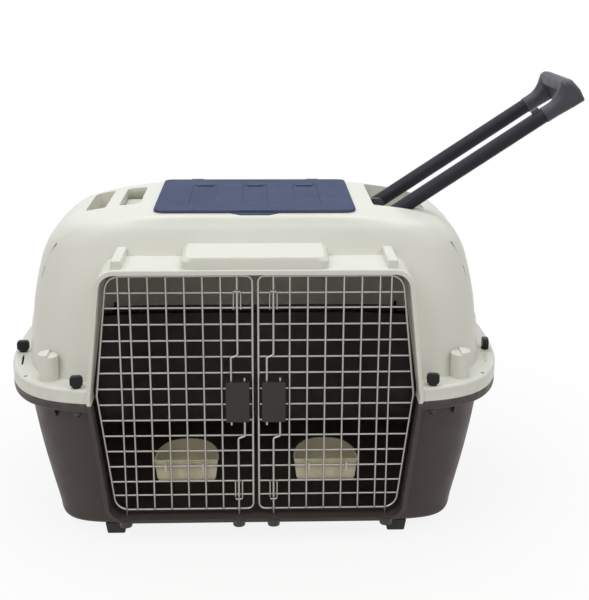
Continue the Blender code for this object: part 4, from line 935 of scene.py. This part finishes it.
def make_top_shell():
    rings = dome_rings(WALL / 2, WALL / 2, WALL / 2)
    rings.append([point - Vector((0, 0, CORE_REACH)) for point in rings[-1]])
    hood = make_hood(solid("core", loft, rings, cap_last=True))
    pocket_x = (POCKET_OUTER_X[0], POCKET_INNER_X[1])
    notch_y = (LID_FRONT_Y - NOTCH_LENGTH, NOTCH_BACK_Y)
    cups = several("roof cups", block, [
        ((left - WALL, right + WALL), (front - WALL, rear + WALL), (bottom - WALL, ROOF_Z))
        for (left, right), (front, rear), bottom in (
            (pocket_x, POCKET_Y, POCKET_FLOOR_Z),
            (RECESS_X, RECESS_Y, POCKET_FLOOR_Z),
            ((-NOTCH_HALF_X, NOTCH_HALF_X), notch_y, ROOF_Z - NOTCH_DEPTH))])
    combine(cups, solid("core", loft, rings, cap_last=True), "INTERSECT")
    bm = bmesh.new()
    under_bar = rectangle(pocket_x, POCKET_Y, POCKET_CORNER, POCKET_WIDE_CORNER, 1, 3)
    prism(bm, filleted(under_bar), "Z", POCKET_FLOOR_Z, CARRY_BAR_UNDER_Z)
    pin_holes(bm, ROD_HOLE_Z, HINGE_HOLE_Z, 2 * CUT_REACH)
    recesses = link("recesses", bm)

    shell = solid("shell_top", loft, [*dome_rings(), *lip(FLANGE_TOP_Z, RIM_JOINT_Z, True)])
    solid_wall(shell, WALL)
    combine(shell, end_panels(), "DIFFERENCE")
    combine(shell, hood, "UNION")
    combine(shell, cups, "UNION")
    combine(shell, top_openings(), "DIFFERENCE")
    combine(shell, recesses, "DIFFERENCE")
    return dress(shell, IVORY, "ivory_plastic", "shell", "top_shell")


def make_surround():
    """The doorway's lower frame with its sill, keepers and nubs, and the gussets under the rim."""
    corners = doorway(DOORWAY_BOTTOM_Z - SILL_HEIGHT, SURROUND_TAB_Z - SEAT_GAP, SURROUND_WIDTH,
                      DOORWAY_CORNER + SURROUND_WIDTH, 0)
    back = SURROUND_FRONT_Y + SURROUND_DEPTH
    surround = solid("surround", prism, filleted(corners), "Y", SURROUND_FRONT_Y, back)
    rounded(surround, SURROUND_ROUND, 3, 60)
    depth = (SURROUND_FRONT_Y - KEEPER_REACH, SURROUND_FRONT_Y - KEEPER_REACH + KEEPER_DEPTH)
    low = DOORWAY_BOTTOM_Z - SILL_HEIGHT - KEEPER_DROP
    keepers = several("keepers", prism, [
        (filleted(rectangle(around(x, 2 * KEEPER_RADIUS), depth, 0, KEEPER_RADIUS, 0, 1)), "Z",
         low, DOORWAY_BOTTOM_Z - KEEPER_STEP) for x in (-HINGE_X, -ROD_X, ROD_X, HINGE_X)])
    combine(surround, rounded(keepers, KEEPER_ROUND, 2, 60), "UNION")
    bm = bmesh.new()
    for side in (-1, 1):
        for z in NUB_HEIGHTS:
            x = side * (doorway_half_x(z) + SURROUND_WIDTH * 0.5)
            place = Matrix.Translation((x, SURROUND_FRONT_Y, z))
            bmesh.ops.create_icosphere(bm, subdivisions=2, radius=NUB_RADIUS, matrix=place)
    combine(surround, link("nubs", bm), "UNION")
    gussets = [(GUSSET_PROFILE, "X", *around(x, GUSSET_THICKNESS)) for x in (-GUSSET_X, GUSSET_X)]
    return combine(surround, several("gussets", prism, gussets), "UNION")


def make_base_shell():
    rings = tub_rings(WALL / 2)
    rings.insert(0, [point + Vector((0, 0, CORE_REACH)) for point in rings[0]])
    surround = combine(make_surround(), solid("core", loft, rings, cap_last=True), "DIFFERENCE")
    bm = bmesh.new()
    doorway_cutter(bm)
    knob_holes(bm, RIM_UNDER_Z)
    openings = link("openings", bm)
    bm = bmesh.new()
    tab_half_x = DOORWAY_HALF_X + SURROUND_WIDTH + SEAT_GAP
    block(bm, (-tab_half_x, tab_half_x), (SURROUND_FRONT_Y - 0.01, SURROUND_FRONT_Y + SURROUND_DEPTH),
          (SURROUND_TAB_Z - SEAT_GAP, RIM_JOINT_Z + 0.01))
    pin_holes(bm, KEEPER_HOLE_Z, KEEPER_HOLE_Z, 1.5 * CUT_REACH)
    recesses = link("recesses", bm)
    rim = lip(RIM_UNDER_Z, RIM_JOINT_Z - SEAT_GAP, False)[::-1]
    shell = solid("shell_base", loft, [*rim, *tub_rings()], cap_first=False, cap_last=True)
    solid_wall(shell, WALL)
    combine(shell, surround, "UNION")
    combine(shell, openings, "DIFFERENCE")
    combine(shell, recesses, "DIFFERENCE")
    return dress(shell, TAUPE, "taupe_plastic", "shell", "base_shell")


# ---- Doors, latches and cups ----

def door_half_x(z):
    return DOOR_HALF_X - TAPER * abs(z - KINK_Z)


def guide_path(x, far, near, way):
    """A wire loop over a rod, from one bar past the other and back."""
    leg_y = BAR_FRONT_Y - GUIDE_RADIUS + GUIDE_SUNK
    front_y = ROD_Y - ROD_RADIUS - GUIDE_RADIUS - GUIDE_GAP
    half = [
        (-GUIDE_HALF_X, leg_y, far - way * 0.002),
        (-GUIDE_HALF_X, leg_y, near + way * 0.001),
        (-GUIDE_HALF_X, leg_y - 0.0008, near + way * 0.0025),
        (0.0008 - GUIDE_HALF_X, front_y, near + way * 0.004),
    ]
    other = [(-across, y, z) for across, y, z in reversed(half)]
    return [Vector((x + across, y, z)) for across, y, z in half + other]


def make_door(name, side):
    corners = [
        (side * DOOR_SPLIT, DOOR_BOTTOM_Z, DOOR_INNER_CORNER),
        (side * door_half_x(DOOR_BOTTOM_Z), DOOR_BOTTOM_Z, DOOR_OUTER_CORNER),
        (side * DOOR_HALF_X, KINK_Z, DOOR_KINK_CORNER),
        (side * door_half_x(DOOR_TOP_Z), DOOR_TOP_Z, DOOR_OUTER_CORNER),
        (side * DOOR_SPLIT, DOOR_TOP_Z, DOOR_INNER_CORNER),
    ]
    bm = bmesh.new()
    tube_mesh(bm, [Vector((x, DOOR_Y, z)) for x, z in filleted(corners)], FRAME_RADIUS, 16, cyclic=True)
    uprights = [(FIRST_WIRE_X + WIRE_PITCH_X * k, DOOR_BOTTOM_Z, DOOR_TOP_Z) for k in range(DOOR_UPRIGHTS)]
    uprights.append((HINGE_X, DOORWAY_BOTTOM_Z - SILL_HEIGHT, DOORWAY_TOP_Z + HINGE_REACH))
    for x, low, high in uprights:
        tube_mesh(bm, [Vector((side * x, UPRIGHT_Y, z)) for z in (low, high)], WIRE_RADIUS)
    for z in BAR_HEIGHTS:
        tube_mesh(bm, [Vector((side * x, BAR_Y, z)) for x in (DOOR_SPLIT, door_half_x(z))], WIRE_RADIUS)
    for far, near, way in ((BAR_HEIGHTS[-2], BAR_HEIGHTS[-1], 1), (FIRST_BAR_Z, BAR_HEIGHTS[0], -1)):
        tube_mesh(bm, guide_path(side * ROD_X, far, near, way), GUIDE_RADIUS, 12)
    wires = link(f"door_{name}_wires", bm)
    dress(wires, STEEL, "wire_steel", f"door_{name}", f"door_{name}", weighted=False, angle=WIRE_SMOOTH_ANGLE)


def make_latch(name, side):
    x = side * ROD_X
    first, second = ROD_BEND_CORNERS
    for end, jog, tip, bend, bent, stub in (
        ("upper", -ROD_JOG, DOORWAY_TOP_Z - ROD_REST_GAP,
         UPPER_BEND_Z, UPPER_BEND_Z - ROD_BEND_DROP, LATCH_BOTTOM_Z - ROD_STUB),
        ("lower", ROD_JOG, DOORWAY_BOTTOM_Z + ROD_REST_GAP,
         LOWER_BEND_Z, LOWER_BEND_Z + ROD_BEND_DROP, LATCH_TOP_Z + ROD_STUB),
    ):
        corners = [(x, tip, 0), (x, bend, first), (x + jog, bent, second), (x + jog, stub, 0)]
        path = [Vector((a, ROD_Y, b)) for a, b in filleted(corners, closed=False)]
        rod = solid(f"latch_rod_{end}_{name}_bar", tube_mesh, path, ROD_RADIUS, 16)
        dress(rod, STEEL, "wire_steel", f"rod_{end}_{name}", f"latch_rod_{end}_{name}", weighted=False,
              angle=WIRE_SMOOTH_ANGLE)
    middle = side * LATCH_X
    outline = filleted(rectangle(around(middle, LATCH_WIDTH), (LATCH_BOTTOM_Z, LATCH_TOP_Z), LATCH_CORNER))
    back = BAR_FRONT_Y - SEAT_GAP
    housing = solid(f"latch_housing_{name}_case", prism, outline, "Y", LATCH_FRONT_Y, back)
    rounded(housing, LATCH_ROUND, 3, 60)
    slot = ROD_RADIUS + ROD_SLOT_GAP
    depth, height = (ROD_Y - slot, back + 0.002), (LATCH_BOTTOM_Z - 0.002, LATCH_TOP_Z + 0.002)
    slots = [(around(rod_x, 2 * slot), depth, height) for rod_x in (x - ROD_JOG, x + ROD_JOG)]
    combine(housing, several("slots", block, slots), "DIFFERENCE")
    dress(housing, LATCH, "latch_plastic", f"door_{name}", f"latch_housing_{name}")
    front = BAR_REAR_Y + SEAT_GAP
    plate = solid(f"latch_back_plate_{name}_cover", prism, outline, "Y", front, front + BACK_PLATE)
    rounded(plate, SOFT_EDGE, 2, 60)
    low, high = back + SEAT_GAP, front + 0.001
    rivets = several("rivets", cylinder, [
        ((middle, (low + high) / 2, LATCH_Z + way * WIRE_PITCH_Z), (0, 1, 0), RIVET_RADIUS, high - low, 20)
        for way in (-0.5, 0.5)])
    combine(plate, rivets, "UNION")
    dress(plate, LATCH, "latch_plastic", f"door_{name}", f"latch_back_plate_{name}")


def bowl_ring(x, z, shrink=0):
    ring = []
    for i in range(BOWL_POINTS + 1):
        angle = math.pi * i / BOWL_POINTS
        along, across = bulged(math.cos(angle), BOWL_ROUNDNESS), bulged(math.sin(angle), BOWL_ROUNDNESS)
        ring.append((x + (BOWL_HALF_X - shrink) * along, BOWL_FRONT_Y + (BOWL_DEPTH - shrink) * across, z))
    return [Vector(point) for point in ring]


def make_bowl(name, side):
    x = side * BOWL_X
    rings = []
    for share in BOWL_SHARES:
        shrink = BOWL_TAPER * share + BOWL_FOOT_ROUND * max(0, share - 0.85) / 0.15
        rings.append(bowl_ring(x, BOWL_RIM_Z + (BOWL_BOTTOM_Z - BOWL_RIM_Z) * share, shrink))
    bowl = solid_wall(solid(f"bowl_{name}_cup", loft, rings, cap_first=False, cap_last=True), BOWL_WALL)
    bead = solid("bead", tube_mesh, bowl_ring(x, BOWL_RIM_Z - BOWL_BEAD), BOWL_BEAD, 10, cyclic=True)
    combine(bowl, bead, "UNION")
    under = FIRST_BAR_Z + WIRE_PITCH_Z + WIRE_RADIUS + SEAT_GAP
    over, low = under + BOWL_HOOK, under - BOWL_HOOK_DROP
    back = BAR_FRONT_Y - SEAT_GAP
    front = back - BOWL_HOOK
    wall = BOWL_FRONT_Y + BOWL_WALL / 2
    profile = [(front, over), (front, low), (back, low), (back, under), (wall, under), (wall, over)]
    clips = [(profile, "X", *around(x + side * offset, BOWL_CLIP_WIDTH)) for offset in BOWL_CLIPS]
    combine(bowl, rounded(several("clips", prism, clips), SOFT_EDGE, 2, 60), "UNION")
    depth, height = (BOWL_FRONT_Y - BOWL_RIB_HEIGHT, wall), (BOWL_BOTTOM_Z + 0.006, BOWL_RIM_Z - 0.003)
    ribs = [(around(x + side * offset, BOWL_RIB_WIDTH), depth, height) for offset in BOWL_RIBS]
    combine(bowl, several("ribs", block, ribs), "UNION")
    dress(bowl, CUP, "cup_plastic", f"bowl_{name}", f"bowl_{name}")


# ---- Roof lid and tray ----

def make_lid():
    lengths = (LID_FRONT_Y, LID_HINGE_Y)
    outline = filleted(rectangle((-LID_HALF_X, LID_HALF_X), lengths, LID_CORNER, LID_REAR_CORNER, 2, 3))
    lid = rounded(solid("lid_panel", prism, outline, "Z", LID_BOTTOM_Z, LID_TOP_Z), LID_ROUND, 4, 60)
    place, length = (0, LID_HINGE_Y, LID_AXIS_Z), 2 * (LID_HALF_X - LID_ROLL_INSET)
    combine(lid, solid("edge", cylinder, place, (1, 0, 0), LID_ROLL_RADIUS, length, 36), "UNION")
    rim_x, rim_y = (half - TRAY_WALL - 0.003 for half in (TRAY_HALF_X, TRAY_HALF_Y))
    outer = rectangle((-rim_x, rim_x), (-rim_y, rim_y), TRAY_CORNER)
    inner = inset(outer, LID_RIM)
    for corners, low, high, operation in (
        (outer, LID_BOTTOM_Z - LID_RIM_DROP, LID_BOTTOM_Z + LID_THICKNESS / 3, "UNION"),
        (inner, LID_BOTTOM_Z - 2 * LID_RIM_DROP, LID_BOTTOM_Z, "DIFFERENCE"),
    ):
        combine(lid, solid("rim", prism, filleted(corners), "Z", low, high), operation)
    bm = bmesh.new()
    rear = (LID_FRONT_Y + LID_HINGE_Y) / 2 + LID_PANEL_LENGTH / 2
    for x in (-LID_PANEL_X, 0, LID_PANEL_X):
        panel = rectangle(around(x, LID_PANEL_WIDTH), (rear - LID_PANEL_LENGTH, rear), LID_PANEL_CORNER)
        levels = [(filleted(inset(panel, LID_PANEL_DEPTH)), LID_TOP_Z - LID_PANEL_DEPTH)]
        frustum(bm, levels + [(filleted(panel), LID_TOP_Z + rise) for rise in (0, 0.01)])
    for x in (-LID_KNUCKLE_X, LID_KNUCKLE_X):
        block(bm, around(x, LID_KNUCKLE_WIDTH), around(LID_HINGE_Y, 2 * LID_THICKNESS),
              (LID_BOTTOM_Z - 0.01, LID_TOP_Z + 0.01))
    combine(lid, link("cuts", bm), "DIFFERENCE")
    tab = notch_outline(LID_TAB_GAP, LID_FRONT_Y + 0.002)
    tab = rounded(solid("tab", prism, tab, "Z", LID_TAB_BOTTOM_Z, LID_BOTTOM_Z + 0.0008), SOFT_EDGE, 2, 60)
    combine(lid, tab, "UNION")
    depth, height = (rear - 0.011, rear - 0.004), (LID_TOP_Z - 0.0016, LID_TOP_Z + LID_PANEL_DEPTH)
    ledges = [(around(x, LID_LEDGE_WIDTH), depth, height) for x in (-LID_PANEL_X, 0, LID_PANEL_X)]
    combine(lid, rounded(several("ledges", block, ledges), SOFT_EDGE, 2), "UNION")
    dress(lid, SLATE, "slate_plastic", "lid", "lid")


def make_tray():
    top = ROOF_Z - WALL - SEAT_GAP
    outer = rectangle((-TRAY_HALF_X, TRAY_HALF_X), (-TRAY_HALF_Y, TRAY_HALF_Y), TRAY_CORNER)
    levels = [(-TRAY_RIM, top - TRAY_WALL), (0, top - TRAY_WALL), (TRAY_TAPER, top - TRAY_DEPTH + TRAY_ROUND)]
    for k in range(1, TRAY_ROUND_STEPS + 1):
        angle = math.pi / 2 * k / TRAY_ROUND_STEPS
        levels.append((TRAY_TAPER + TRAY_ROUND * (1 - math.cos(angle)),
                       top - TRAY_DEPTH + TRAY_ROUND * (1 - math.sin(angle))))
    rings = [[Vector((x, y, z)) for x, y in filleted(inset(outer, inward))] for inward, z in levels]
    tray = solid_wall(solid("tray_bin", loft, rings, cap_first=False, cap_last=True), TRAY_WALL, 1)
    dress(tray, TRAY, "tray_plastic", "shell", "storage_tray")


# ---- Pull handle ----

def on_handle(along, across, y=0.0):
    return PIVOT + HANDLE_ALONG * along + HANDLE_ACROSS * across + Vector((0, y, 0))


def along_tube(bm, side, start, end, radius, sides):
    low, high = (on_handle(along, 0, side * HALF_SPAN) for along in (start, end))
    cylinder(bm, (low + high) / 2, high - low, radius, (high - low).length, sides)


def button_block(bm, half, low):
    half_s, half_y = half
    corners = ((-half_s, -half_y), (half_s, -half_y), (half_s, half_y), (-half_s, half_y))
    loft(bm, [[on_handle(BUTTON_S + s, v, y - HALF_SPAN) for s, y in corners] for v in (low, BUTTON_TOP)],
         cap_last=True)


def grip_moulding():
    """A bar across the tubes' ends, with a round arm over each tube."""
    outline = filleted([(HANDLE_REACH - before, v, radius) for before, v, radius in GRIP_BAR_OUTLINE])
    middle = sum(outline, Vector((0, 0))) / len(outline)
    ends = eased([(HALF_SPAN + reach, share) for reach, share in GRIP_BAR_ENDS])
    sections = [(-y, share) for y, share in reversed(ends)] + list(ends)
    rings = []
    for y, share in sections:
        rings.append([on_handle(*(middle + (place - middle) * share), y) for place in outline])
    grip = solid("handle_grip_moulding", loft, rings, cap_last=True)
    for side in (-1, 1):
        rings = []
        for before, under, over, half_y, power in eased(GRIP_ARM_SECTIONS):
            ring = []
            for k in range(GRIP_ARM_SIDES):
                angle = 2 * math.pi * (k + 0.5) / GRIP_ARM_SIDES
                across, rise = bulged(math.cos(angle), 2 / power), bulged(math.sin(angle), 2 / power)
                v = (over + under) / 2 + rise * (over - under) / 2
                ring.append(on_handle(HANDLE_REACH - before, v, side * HALF_SPAN + half_y * across))
            rings.append(ring)
        combine(grip, solid("grip arm", loft, rings, cap_last=True), "UNION")
    return rounded(grip, GRIP_ROUND, 3, 35)


def make_handle():
    socket_end = HANDLE_REACH - GRIP_LENGTH + GRIP_SOCKET
    for name, side in (("front", -1), ("rear", 1)):
        end = socket_end - SEAT_GAP
        rail = solid(f"handle_tube_{name}_rail", along_tube, side, -TUBE_HEEL, end, TUBE_RADIUS, 56)
        rounded(rail, SOFT_EDGE, 2, 60)
        bore = solid("bore", cylinder, PIVOT, (0, 1, 0), AXLE_RADIUS + AXLE_GAP, HALF_SPAN * 4, 32)
        combine(rail, bore, "DIFFERENCE")
        if side < 0:
            combine(rail, solid("well", button_block, BUTTON_WELL, BUTTON_WELL_FLOOR), "DIFFERENCE")
        dress(rail, CHARCOAL, "charcoal_metal", "handle", f"handle_tube_{name}")

    grip = grip_moulding()
    start = HANDLE_REACH - GRIP_LENGTH - GRIP_SOCKET
    sockets = [(side, start, socket_end, TUBE_RADIUS + SEAT_GAP, 48) for side in (-1, 1)]
    combine(grip, several("sockets", along_tube, sockets), "DIFFERENCE")
    dress(grip, GRIP, "charcoal_plastic", "handle", "handle_grip")
    button = rounded(solid("handle_button_cap", button_block, BUTTON, BUTTON_BOTTOM), BUTTON_ROUND, 3)
    dress(button, GRIP, "charcoal_plastic", "handle_button", "handle_button")
    axle = solid("handle_axle_pin", cylinder, PIVOT, (0, 1, 0), AXLE_RADIUS, 2 * AXLE_HALF_LENGTH, 40)
    dress(rounded(axle, AXLE_ROUND, 3, 60), ZINC, "zinc_steel", "handle", "handle_axle")


# ---- Knobs, nuts and feet ----

def make_knobs():
    outline = filleted(rectangle(around(0, KNOB_WIDTH), KNOB_HEIGHTS, KNOB_CORNER), step=KNOB_STEP)
    for number, (x, y, turn) in enumerate(KNOBS, 1):
        bm = bmesh.new()
        prism(bm, outline, "Y", *around(0, KNOB_THICKNESS))
        bmesh.ops.rotate(bm, verts=bm.verts, matrix=Matrix.Rotation(math.radians(turn), 3, "Z"))
        bmesh.ops.translate(bm, verts=bm.verts, vec=(x, y, FLANGE_TOP_Z))
        knob = rounded(link(f"knob_{number}_head", bm), KNOB_ROUND, 3, 50)
        place = (x, y, FLANGE_TOP_Z + SEAT_GAP + COLLAR_HEIGHT / 2)
        collar = solid("collar", cylinder, place, UP, COLLAR_RADIUS, COLLAR_HEIGHT, 32)
        combine(knob, rounded(collar, COLLAR_ROUND, 2, 60), "UNION")
        low = RIM_UNDER_Z - SEAT_GAP - NUT_HEIGHT - SCREW_PAST_NUT
        place = (x, y, (low + SCREW_TOP_Z) / 2)
        combine(knob, solid("screw", cylinder, place, UP, SCREW_RADIUS, SCREW_TOP_Z - low, 20), "UNION")
        dress(knob, BLACK, "black_plastic", f"knob_{number}", f"knob_{number}")


def make_feet():
    for end, y in FOOT_YS:
        for name, side in (("left", -1), ("right", 1)):
            bm = bmesh.new()
            block(bm, around(side * FOOT_X, FOOT_WIDTH), around(y, FOOT_LENGTH), (0, FLOOR_Z - SEAT_GAP))
            for vert in bm.verts:
                if vert.co.z < FLOOR_Z / 2:
                    vert.co.x -= math.copysign(FOOT_TAPER, vert.co.x - side * FOOT_X)
            foot = rounded(link(f"foot_{end}_{name}_pad", bm), FOOT_ROUND, 4)
            dress(foot, RUBBER, "black_rubber", "shell", f"foot_{end}_{name}")


def dress_cad_nodes():
    """Small CAD pieces that stay: a finish and joined corners."""
    kept = {"lid_hinge_block_left": SLATE, "lid_hinge_block_right": SLATE, "lid_hinge_pin_left": ZINC,
            "lid_hinge_pin_right": ZINC, "handle_bracket_front": GRIP, "handle_bracket_rear": GRIP}
    kept.update({f"rim_nut_{number}": DARK_ZINC for number in range(1, len(KNOBS) + 1)})
    for name, material in kept.items():
        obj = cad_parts[name]
        if not obj.material_slots:
            obj.data.materials.append(material)
        for slot in obj.material_slots:
            slot.material = material
        weld = obj.modifiers.new("Weld", "WELD")
        weld.merge_threshold = 1e-5


# ---- Stage ----

def seen_by(tree, *rays):
    """1 for rays of these kinds, otherwise 0."""
    paths = node(tree, "ShaderNodeLightPath").outputs
    seen = paths[f"Is {rays[0]} Ray"]
    for ray in rays[1:]:
        seen = maths(tree, "MAXIMUM", seen, paths[f"Is {ray} Ray"])
    return seen


def make_world():
    """A white studio that the camera, gloss and glass see brighter than it lights."""
    world = bpy.data.worlds.new("studio")
    bpy.context.scene.world = world
    world.use_nodes = True
    tree = world.node_tree
    background = tree.nodes["Background"]
    level = spread(tree, seen_by(tree, "Camera", "Glossy", "Transmission"), WORLD_LIGHT, 1.0, 0, 1)
    tree.links.new(level, background.inputs["Strength"])
    background.inputs["Color"].default_value = WHITE


def make_floor():
    """A pale floor that fades to white away from the carrier."""
    bm = bmesh.new()
    bmesh.ops.create_grid(bm, x_segments=1, y_segments=1, size=FLOOR_SIZE)
    floor = link("studio_floor", bm)
    floor.location.z = FLOOR_Z_OFFSET
    material = bpy.data.materials.new("pale_floor")
    material.use_nodes = True
    tree = material.node_tree
    shader = tree.nodes["Principled BSDF"]
    shader.inputs["Base Color"].default_value = FLOOR_COLOUR
    shader.inputs["Roughness"].default_value = 0.9
    glow = node(tree, "ShaderNodeEmission", Color=WHITE, Strength=1.0)
    length = node(tree, "ShaderNodeVectorMath", operation="LENGTH")
    tree.links.new(node(tree, "ShaderNodeTexCoord").outputs["Object"], length.inputs[0])
    share = spread(tree, length.outputs["Value"], *FLOOR_GLOW)
    mix = node(tree, "ShaderNodeMixShader")
    for number, value in enumerate((
        maths(tree, "MULTIPLY", share, seen_by(tree, "Camera", "Glossy")), shader.outputs[0], glow.outputs[0],
    )):
        tree.links.new(value, mix.inputs[number])
    tree.links.new(mix.outputs[0], tree.nodes["Material Output"].inputs["Surface"])
    floor.data.materials.append(material)


def make_lights():
    for name, place, target, size, power, tint in LIGHTS:
        light = bpy.data.lights.new(name, "AREA")
        light.shape = "RECTANGLE"
        light.size, light.size_y = size
        light.energy = power
        light.color = tint
        holder = bpy.data.objects.new(name, light)
        bpy.context.scene.collection.objects.link(holder)
        holder.location = place
        holder.rotation_euler = (Vector(target) - Vector(place)).to_track_quat("-Z", "Y").to_euler()


def make_camera():
    data = bpy.data.cameras.new("camera")
    data.lens = CAMERA_LENS
    data.sensor_width = CAMERA_SENSOR
    camera = bpy.data.objects.new("camera", data)
    bpy.context.scene.collection.objects.link(camera)
    turned = Matrix((CAMERA_RIGHT, CAMERA_UP, -CAMERA_FORWARD)).transposed().to_4x4()
    turned.translation = CAMERA_PLACE + ORIGIN
    camera.matrix_world = turned
    bpy.context.scene.camera = camera


make_top_shell()
make_base_shell()
for door_name, door_side in (("left", -1), ("right", 1)):
    make_door(door_name, door_side)
    make_latch(door_name, door_side)
    make_bowl(door_name, door_side)
make_lid()
make_tray()
make_handle()
make_knobs()
make_feet()
dress_cad_nodes()
make_world()
make_floor()
make_lights()
make_camera()
bpy.context.scene.view_settings.view_transform = "Standard"
